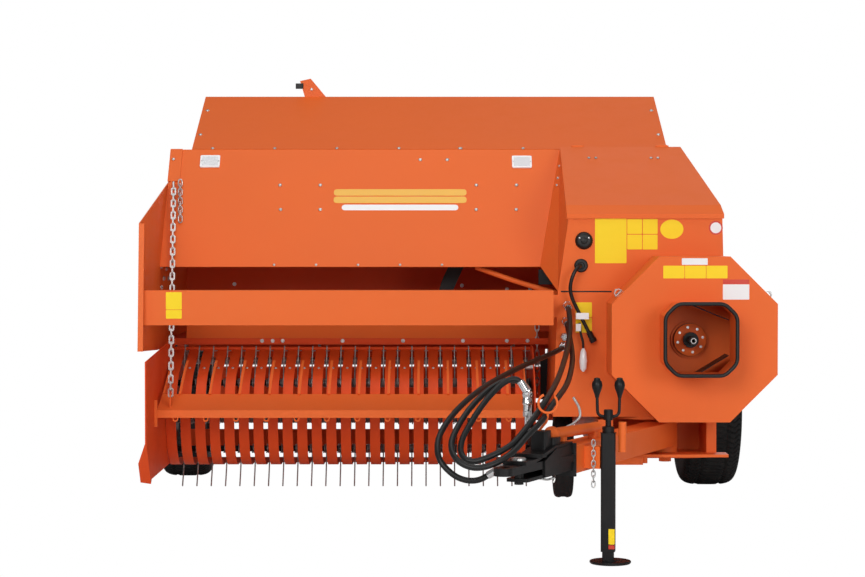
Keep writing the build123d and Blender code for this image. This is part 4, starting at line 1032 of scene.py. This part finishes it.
def hollowTube(outer, inner, low, high):
    # two outlines of the same count; rings run outside up, then inside down
    layers = [(outer, low), (outer, high), (inner, high), (inner, low)]
    points = np.concatenate([np.insert(flat, 2, level, axis=1) for flat, level in layers])
    return points, gridFaces(4, len(outer), closeRows=True, closeColumns=True).tolist()


def makeJack():
    # the tube and the leg are turned a little from the drawbar; the crank is a U with two pear knobs
    j = jackPlan
    foot = onDrawbar((np.array([j["centre"]]), []))[0][0]
    spin = spinRows(math.radians(j["turn"] - drawbarFrame["turn"]))
    post = foot + (j["shift"], 0, 0)
    bore = j["leg"] + 0.003
    tube = hollowTube(roundRect(j["tube"], j["tube"], 0.007), roundRect(bore, bore, 0.005), *j["tubeUp"])
    w, z, arm, rod = j["crank"]
    bow = rounded([(-w, 0, z + arm), (-w + 0.002, 0, z), (w - 0.002, 0, z), (w, 0, z + arm)], 0.022)
    knobs = [moved(turned(j["pear"], 28), (side, 0, z + arm - 0.005)) for side in (-w, w)]
    parts = [moved(tube, (0, 0, 0), spin), turned(j["top"], 32), tubeAlong(bow, rod, 14), *knobs]
    piece = newPiece("jackParts", moved(joined(parts), post), "blackPaint", "drawbar")
    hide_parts("jack_tube")
    half = j["leg"] / 2
    leg = brick((-half, half), (-half, half), j["legUp"], 0.006)
    parts = joined([moved(leg, (j["shift"], 0, 0), spin), turned(j["foot"], 48)])
    piece = newPiece("jackFoot", moved(parts, foot), "blackPaint", "jack_leg")
    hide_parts("jack_leg")
    out, side = np.array((0, -1.0, 0)) @ spin, np.array((1.0, 0, 0)) @ spin
    for name, finish, level, high in j["labels"]:
        spot = np.array((0.014, -j["tube"] / 2, level)) @ spin + post
        label = slab(roundRect(0.022, high, 0.002), 0.0012, spot, out, side)
        newPiece(name, label, finish, "drawbar", smooth=False)


makeJack()

lockTube = {
    "front": (0.0, -1.252, 0.484), "rear": (0.0, -0.800, 0.472), "radius": 0.020,
    "bell": ((0.014, 0.0), (0.028, -0.022), (0.028, -0.034), (0.020, -0.052)), "bellLead": 0.040,
    "saddles": (((-1.180, -1.150), (0.434, 0.466)), ((-0.860, -0.830), (0.434, 0.460))),
}


def makeLockTube():
    # the tube of the latch that holds the drawbar, with a bell at its front, on two saddles
    front = np.array(lockTube["front"])
    points, faces = turned(lockTube["bell"], 32)
    bell = (points[:, [0, 2, 1]] * (1, -1, 1) + front - (0, lockTube["bellLead"], 0), faces)
    saddles = [brick((-0.016, 0.016), *ranges, 0.004) for ranges in lockTube["saddles"]]
    parts = [rodBetween(front, lockTube["rear"], lockTube["radius"], 24), bell, *saddles]
    newPiece("lockTube", onDrawbar(joined(parts)), "orangePaint", "drawbar")


makeLockTube()

drawbarTrim = {
    "swivel": ((0.637, -1.905, 0.404), (0.637, -1.905, 0.513), 0.0145),
    "link": ((0.635, -1.905, 0.455), (0.637, -1.855, 0.455), 0.008),
    "handle": (
        (0.468, -1.75, 0.592), (0.490, -1.75, 0.556), (0.496, -1.75, 0.520), (0.470, -1.76, 0.495),
        (0.435, -1.78, 0.480)),
    "chain": {"top": (0.529, -1.935, 0.448), "foot": (0.529, -1.935, 0.281),
              "count": 9, "wire": 0.0022, "half": 0.0065},
}


def makeDrawbarTrim():
    # an upright stub with its link, a bent handle and a short chain
    swivel = [rodBetween(*drawbarTrim["swivel"], 24), rodBetween(*drawbarTrim["link"])]
    newPiece("jackSwivel", joined(swivel), "orangePaint", "drawbar")
    handle = tubeAlong(rounded(drawbarTrim["handle"], 0.03), 0.005, 10)
    fittings = joined([handle, chainBetween(**drawbarTrim["chain"])])
    newPiece("drawbarFittings", fittings, "galvanised", "drawbar")


makeDrawbarTrim()
print("hitch and jack made")

# The shelf under the drawbar's swing, each part as its x, y and z ranges
shelf = {
    "plate": ((0.678, 1.139), (-1.085, -0.990), (0.300, 0.311)),
    "block": ((0.678, 0.794), (-1.090, -1.000), (0.270, 0.300)),
    "lug": ((0.794, 0.812), (-1.086, -1.010), (0.276, 0.300)),
}
shelfParts = joined([brick(*ranges, 0.004) for ranges in shelf.values()])
newPiece("drawbarShelf", shelfParts, "orangePaint", "chassis")


# Pickup reel: bars, coils and sprung tines; its centre and counts are the CAD node's
reelPlan = {
    "centre": (0, -0.600, 0.428), "bar": 0.140, "barRadius": 0.013, "bars": 4, "x": (-1.160, 0.362),
    "tip": 0.299, "lead": 0.060, "wire": 0.003, "coil": 0.017, "coilTurns": 3.5, "coilHalf": 0.012,
    "spine": ((-0.010, 0.014), (0.030, 0.010), (0.085, -0.014)),  # outwards from the bar, and ahead
    "first": -1.112, "pitch": 0.0606, "count": 25, "shaft": 0.020, "shaftOut": 0.016,
    "disc": ((0.150, 0.0), (0.160, 0.0), (0.160, 0.006), (0.150, 0.006)), "discs": (-1.159, -0.411, 0.355),
}
tineXs = reelPlan["first"] + reelPlan["pitch"] * np.arange(reelPlan["count"])
bandXs = tineXs[:-1] + reelPlan["pitch"] / 2


def makeReel():
    # a tine is a coil round its bar and a wire that runs out and trails; a row of them stands on each bar
    r = reelPlan
    angle = np.linspace(0, 2 * np.pi * r["coilTurns"], int(12 * r["coilTurns"]) + 1)
    out, back = r["bar"] + r["coil"] * np.cos(angle), r["coil"] * np.sin(angle)
    coil = np.stack([np.linspace(-r["coilHalf"], r["coilHalf"], len(angle)), out, back], -1)
    reach = math.sqrt(r["tip"] ** 2 - r["lead"] ** 2)
    spine = [(0, r["bar"] + step, back) for step, back in r["spine"]] + [(0, reach, -r["lead"])]
    tine = joined([tubeAlong(coil, r["wire"], 6), tubeAlong(rounded(spine, 0.02, 4), r["wire"], 8)])
    row = joined([moved(tine, (x, 0, 0)) for x in tineXs])
    low, high = r["x"]
    bar = rodBetween((low, r["bar"], 0), (high, r["bar"], 0), r["barRadius"])
    tines, bars = [], []
    for index in range(r["bars"]):
        turn = 2 * np.pi * index / r["bars"]
        c, s = math.cos(turn), math.sin(turn)
        spin = np.array([[1, 0, 0], [0, c, s], [0, -s, c]])
        tines.append(moved(row, r["centre"], spin))
        bars.append(moved(bar, r["centre"], spin))
    points, faces = turned(r["disc"], 64)
    rims = [moved((points[:, [2, 0, 1]], faces), (x, 0, 0)) for x in r["discs"]]
    rims.append(rodBetween((low - r["shaftOut"], 0, 0), (high + r["shaftOut"], 0, 0), r["shaft"], 24))
    bars += [moved(part, r["centre"]) for part in rims]
    piece = newPiece("reelTines", joined(tines), "tineSteel", "pickup_reel")
    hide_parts("pickup_reel")
    newPiece("reelBars", joined(bars), "blackPaint", "pickup_reel")


makeReel()

guardFinger = {
    "points": ((-0.992, 0.546), (-0.860, 0.615), (-0.722, 0.665)), "half": 0.005, "wall": 0.006,
    "hook": ((-0.012, -1.142, 0.470), (-0.008, -1.150, 0.452),
             (0.006, -1.150, 0.452), (0.010, -1.142, 0.470)),
    "hookWire": 0.003,
}


def makeGuardFingers():
    # a flat finger over every second band, and a small bent end below the lip
    half, wall = guardFinger["half"], guardFinger["wall"]
    ring = [(-half, 0), (half, 0), (half, wall), (-half, wall)]
    finger = along(rounded([(0, y, z) for y, z in guardFinger["points"]], 0.04), ring)
    hook = tubeAlong(rounded(guardFinger["hook"], 0.006, 4), guardFinger["hookWire"], 8)
    parts = [moved(part, (x, 0, 0)) for x in bandXs[::2] for part in (finger, hook)]
    newPiece("guardFingers", joined(parts), "orangePaint", "windguard")


makeGuardFingers()

bandBolts = {"rows": ((-0.560, 0.6500), (-0.645, 0.6330)), "size": 0.012, "normal": (0, -0.5, 0.87)}
bandPlaces = [(x, y, z) for x in bandXs for y, z in bandBolts["rows"]]
fasten("bandBolts", domeBolt(bandBolts["size"]), bandPlaces, bandBolts["normal"], "pickup")

pickupTrim = {
    "beam": ((-1.165, 0.367), (-0.258, -0.248), (0.262, 0.340)),
    "skid": ((-1.400, 0.385), (-1.262, 0.213), (-1.240, 0.230), (-1.290, 0.300), (-1.340, 0.375)),
    "skidX": (-1.170, -1.165), "flare": (-0.034, -0.008, -0.006), "flareWall": 0.004,
    "bar": ((-1.165, -0.452, 0.700), (0.367, -0.452, 0.700), 0.005),
}


def makePickupTrim():
    # a low beam, a skid, and a plate flared out from the skid's front edge; a bar through the bands
    trim = pickupTrim
    a, d = (np.array((trim["skidX"][0], *corner)) for corner in trim["skid"][:2])
    out = np.array(trim["flare"])
    edge = np.array([a, a + (d - a) * 0.45 + out, a + (d - a) * 0.92 + out, d])
    points = np.concatenate([edge, edge + (trim["flareWall"], 0, 0)])
    flare = (points, [face[::-1] for face in ringFaces(2, len(edge))])
    parts = [beam(*trim["beam"]), prism(trim["skid"], *trim["skidX"], 0), flare]
    # the trim takes the darker, redder orange: painted shade
    newPiece("pickupTrim", joined(parts), "innerPaint", "pickup", smooth=False)
    newPiece("bandBar", rodBetween(*trim["bar"]), "galvanised", "pickup")


makePickupTrim()

axleTube = {
    "x": (-1.110, 0.470), "y": (0.550, 0.630), "z": (0.415, 0.565), "rail": ((0.240, 0.280), (0.596, 0.668)),
    "gusset": ((0.630, 0.565), (0.320, 0.960), (0.282, 0.960),
               (0.282, 0.700), (0.550, 0.445), (0.550, 0.565)),
    "gussets": (-1.000, -0.400, 0.200), "wall": 0.012,
}


def makeAxleTube():
    # the square tube over the low beam, with plates up to the feeder's back
    a = axleTube
    (front, back), (low, high) = a["y"], a["z"]
    tube = roundRect(back - front, high - low, 0.010) + ((front + back) / 2, (low + high) / 2)
    parts = [prism(tube, *a["x"], 0), beam(a["x"], *a["rail"])]
    parts += [prism(a["gusset"], x, x + a["wall"], 0) for x in a["gussets"]]
    # the tube and its plates take the darker, redder orange: painted shade
    newPiece("axleTube", joined(parts), "innerPaint", "chassis", smooth=False)


makeAxleTube()

sill = {"x": (-1.120, 0.395), "section": ((-0.447, 0.738), (-0.444, 0.736), (-0.402, 0.814), (-0.405, 0.816))}
sillShape = prism(sill["section"], *sill["x"], 0)
newPiece("feederSill", sillShape, "orangePaint", "chassis", smooth=False)

liftChain = {"top": (0.398, -0.430, 0.930), "foot": (0.398, -0.450, 0.520),
             "count": 14, "wire": 0.0028, "half": 0.0085}
newPiece("liftChain", chainBetween(**liftChain), "galvanised", "chassis")


def makeGuardChain():
    # the CAD chain again, as a piece of its own on no body
    node = nodes["windguard_chain"]
    points = [node.matrix_world @ vertex.co for vertex in node.data.vertices]
    faces = [list(polygon.vertices) for polygon in node.data.polygons]
    piece = newPiece("guardChain", (points, faces), "galvanised", None)
    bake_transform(piece)
    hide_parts("windguard_chain")


makeGuardChain()
print("pickup dressed")


# Small pieces: strips, clamps, tags, a rod, screws, bolts, a second cable, a chain's tail, a lamp head
small = {  # finish, centre, width, height, thickness, normal, body
    "endStrip": ("orangePaint", (-1.176, -0.359, 1.500), 0.053, 0.184, 0.004, panelNormal, "chassis"),
    "lidLip": ("orangePaint", (0.809, -1.0062, 1.2715), 0.638, 0.019, 0.0035, frontNormal, "gearbox_lid"),
    "guardBracket": ("orangePaint", (-1.167, -1.150, 0.483), 0.027, 0.105, 0.008, frontNormal, "pickup"),
    "gapClamp": ("blackPaint", (0.428, -0.700, 1.020), 0.076, 0.062, 0.020, frontNormal, "chassis"),
    # the next strip is a thin black sheet laid on the face: painted shadow for the dark gap at the sheet's
    # fold
    "foldGapShadow": ("blackPaint", (0.570, -1.0, 0.966), 0.206, 0.0055, 0.0006, frontNormal, "chassis"),
    "sideFlap": ("blackPaint", (0.432, -0.400, 0.575), 0.036, 0.185, 0.006, frontNormal, "chassis"),
    "plugClip": ("blackPaint", (0.588, -1.000, 0.785), 0.020, 0.014, 0.018, frontNormal, "chassis"),
    "tagUpper": ("whiteFilm", (0.5505, -1.052, 0.868), 0.052, 0.026, 0.001, (0.2, -1, 0.1), "chassis"),
    "tagLower": ("whiteFilm", (0.5350, -1.050, 0.822), 0.020, 0.030, 0.001, (-0.2, -1, 0.0), "chassis"),
}
gapRod = {"points": ((0.130, -0.600, 1.060), (0.305, -0.640, 0.998), (0.455, -0.700, 0.955)), "radius": 0.011}
smallScrews = {  # size, normal and places
    "wallScrews": (0.014, leanNormal, (
        (0.4876, -0.4366, 1.4415), (0.481, -0.4612, 1.4102), (0.4977, -0.3917, 1.4946),
        (0.5031, -0.6592, 1.3113))),
    "stripScrew": (0.013, panelNormal, ((-1.185, -0.345, 1.528),)),
}


def makeSmallPieces():
    # flat slabs, a bent rod and pan heads
    for name, (finish, centre, width, height, wall, normal, body) in small.items():
        shape = slab(roundRect(width, height, 0.0015), wall, centre, normal)
        newPiece(name, shape, finish, body, smooth=False)
    rod = tubeAlong(rounded(gapRod["points"], 0.05), gapRod["radius"])
    newPiece("gapRod", rod, "orangePaint", "chassis")
    for name, (size, normal, places) in smallScrews.items():
        fasten(name, domeBolt(size), places, normal)


makeSmallPieces()

wallBolts = {  # size, normal and places
    "endPlate": (0.016, (1, 0, 0), (
        (-1.2, -0.673, 1.063), (-1.2, -0.496, 1.0525), (-1.2, -0.587, 1.012), (-1.2, -0.427, 1.009),
        (-1.2, -0.663, 0.9755))),
    "backWall": (0.012, frontNormal, (
        (-0.978, 0.272, 0.970), (0.083, 0.272, 0.9634), (0.293, 0.272, 0.9467), (0.400, 0.272, 0.9467))),
}
secondCable = {
    "points": ((0.541, -1.03, 0.840), (0.545, -1.03, 0.800), (0.554, -1.03, 0.765), (0.556, -1.03, 0.735)),
    "radius": 0.0048, "sleevePlace": (0.556, -1.03, 0.642),
    "sleeve": ((0.004, 0.0), (0.013, 0.012), (0.016, 0.045), (0.012, 0.080), (0.005, 0.095)),
}


def makeWallBolts():
    # hexagons inside the chamber's walls, and a second cable with its turned sleeve
    groups = [scattered(hexBolt(size), places, normal) for size, normal, places in wallBolts.values()]
    newPiece("wallBolts", joined(groups), "galvanised", "chassis")
    cable = tubeAlong(smoothLine(secondCable["points"]), secondCable["radius"], 10)
    newPiece("secondCable", cable, "blackRubber", "chassis")
    sleeve = moved(turned(secondCable["sleeve"], 20), secondCable["sleevePlace"])
    newPiece("cableSleeve", sleeve, "reflectorGlass", "chassis")


makeWallBolts()

panelEnd = {
    "tail": {"top": (-1.145, -0.437, 1.430), "foot": (-1.1295, -0.572, 1.256),
             "count": 9, "wire": 0.0028, "half": 0.0085},
    "lamp": ((-0.691, -0.655), (0.270, 0.294), (1.8795, 1.9035), 0.004),
    "screw": (-0.617, 0.276, 1.876),
}


def makePanelEnd():
    # the tail of a chain on the end plate, and a lamp head on the hood's stay
    newPiece("chainTail", chainBetween(**panelEnd["tail"]), "galvanised", "chassis")
    newPiece("stayLamp", brick(*panelEnd["lamp"]), "blackRubber", "chassis")
    fasten("stayScrew", domeBolt(0.014), [panelEnd["screw"]], frontNormal)


makePanelEnd()
print("small pieces made")


# Studio: a pale floor, a soft world and large soft lamps
studio = {
    "floorColour": (0.88, 0.88, 0.88, 1.0),
    "floorSize": 60.0,
    "white": (1.0, 1.0, 1.0, 1.0),
    "worldLight": 0.25,
    "lamps": (  # name, place, what it looks at, size, watts
        ("keyLamp", (-1.8, -8.6, 3.2), (0.0, -0.5, 0.9), 3.0, 236.0),
        ("fillLamp", (3.6, -8.4, 2.0), (0.2, -0.5, 0.9), 2.5, 156.0),
        ("topLamp", (0.0, -1.5, 6.0), (0.0, -0.3, 1.0), 4.0, 100.0),
        ("rearLamp", (2.5, 8.0, 4.5), (0.0, 0.5, 0.9), 4.0, 160.0),
    ),
}


def makeFloor():
    half = studio["floorSize"] / 2
    mesh = bpy.data.meshes.new("floor")
    corners = [(-half, -half, 0), (half, -half, 0), (half, half, 0), (-half, half, 0)]
    mesh.from_pydata(corners, [], [(0, 1, 2, 3)])
    floor = bpy.data.objects.new("floor", mesh)
    bpy.context.scene.collection.objects.link(floor)
    p = Paint("floorPale", specular=0.0)
    p.set("Base Color", studio["floorColour"])
    p.set("Roughness", 0.9)
    # to the camera the floor is as white as the world
    cameraRay = p.node("ShaderNodeLightPath")
    glow = p.node("ShaderNodeEmission", {}, {"Color": studio["white"], "Strength": 1.0})
    both = p.node("ShaderNodeMixShader", {}, {0: cameraRay, 1: Wire(p, p.shader.outputs[0]), 2: glow})
    p.tree.links.new(both.socket, p.tree.nodes["Material Output"].inputs[0])
    mesh.materials.append(p.material)


def makeWorld():
    # white to the camera, and a weaker light to everything else
    world = bpy.data.worlds.new("studio")
    bpy.context.scene.world = world
    world.use_nodes = True
    tree = world.node_tree
    tree.nodes.clear()
    rays = tree.nodes.new("ShaderNodeLightPath")
    both = tree.nodes.new("ShaderNodeMixShader")
    tree.links.new(rays.outputs["Is Camera Ray"], both.inputs[0])
    for socket, strength in ((1, studio["worldLight"]), (2, 1.0)):
        light = tree.nodes.new("ShaderNodeBackground")
        light.inputs[0].default_value = studio["white"]
        light.inputs[1].default_value = strength
        tree.links.new(light.outputs[0], both.inputs[socket])
    output = tree.nodes.new("ShaderNodeOutputWorld")
    tree.links.new(both.outputs[0], output.inputs[0])


def makeLamps():
    for name, place, target, size, watts in studio["lamps"]:
        data = bpy.data.lights.new(name, "AREA")
        data.size = size
        data.energy = watts
        lamp = bpy.data.objects.new(name, data)
        lamp.location = place
        aim = Vector(target) - Vector(place)
        lamp.rotation_euler = aim.to_track_quat("-Z", "Y").to_euler()
        bpy.context.scene.collection.objects.link(lamp)


makeFloor()
makeWorld()
makeLamps()
bpy.context.scene.view_settings.view_transform = "Standard"
print("studio lit")
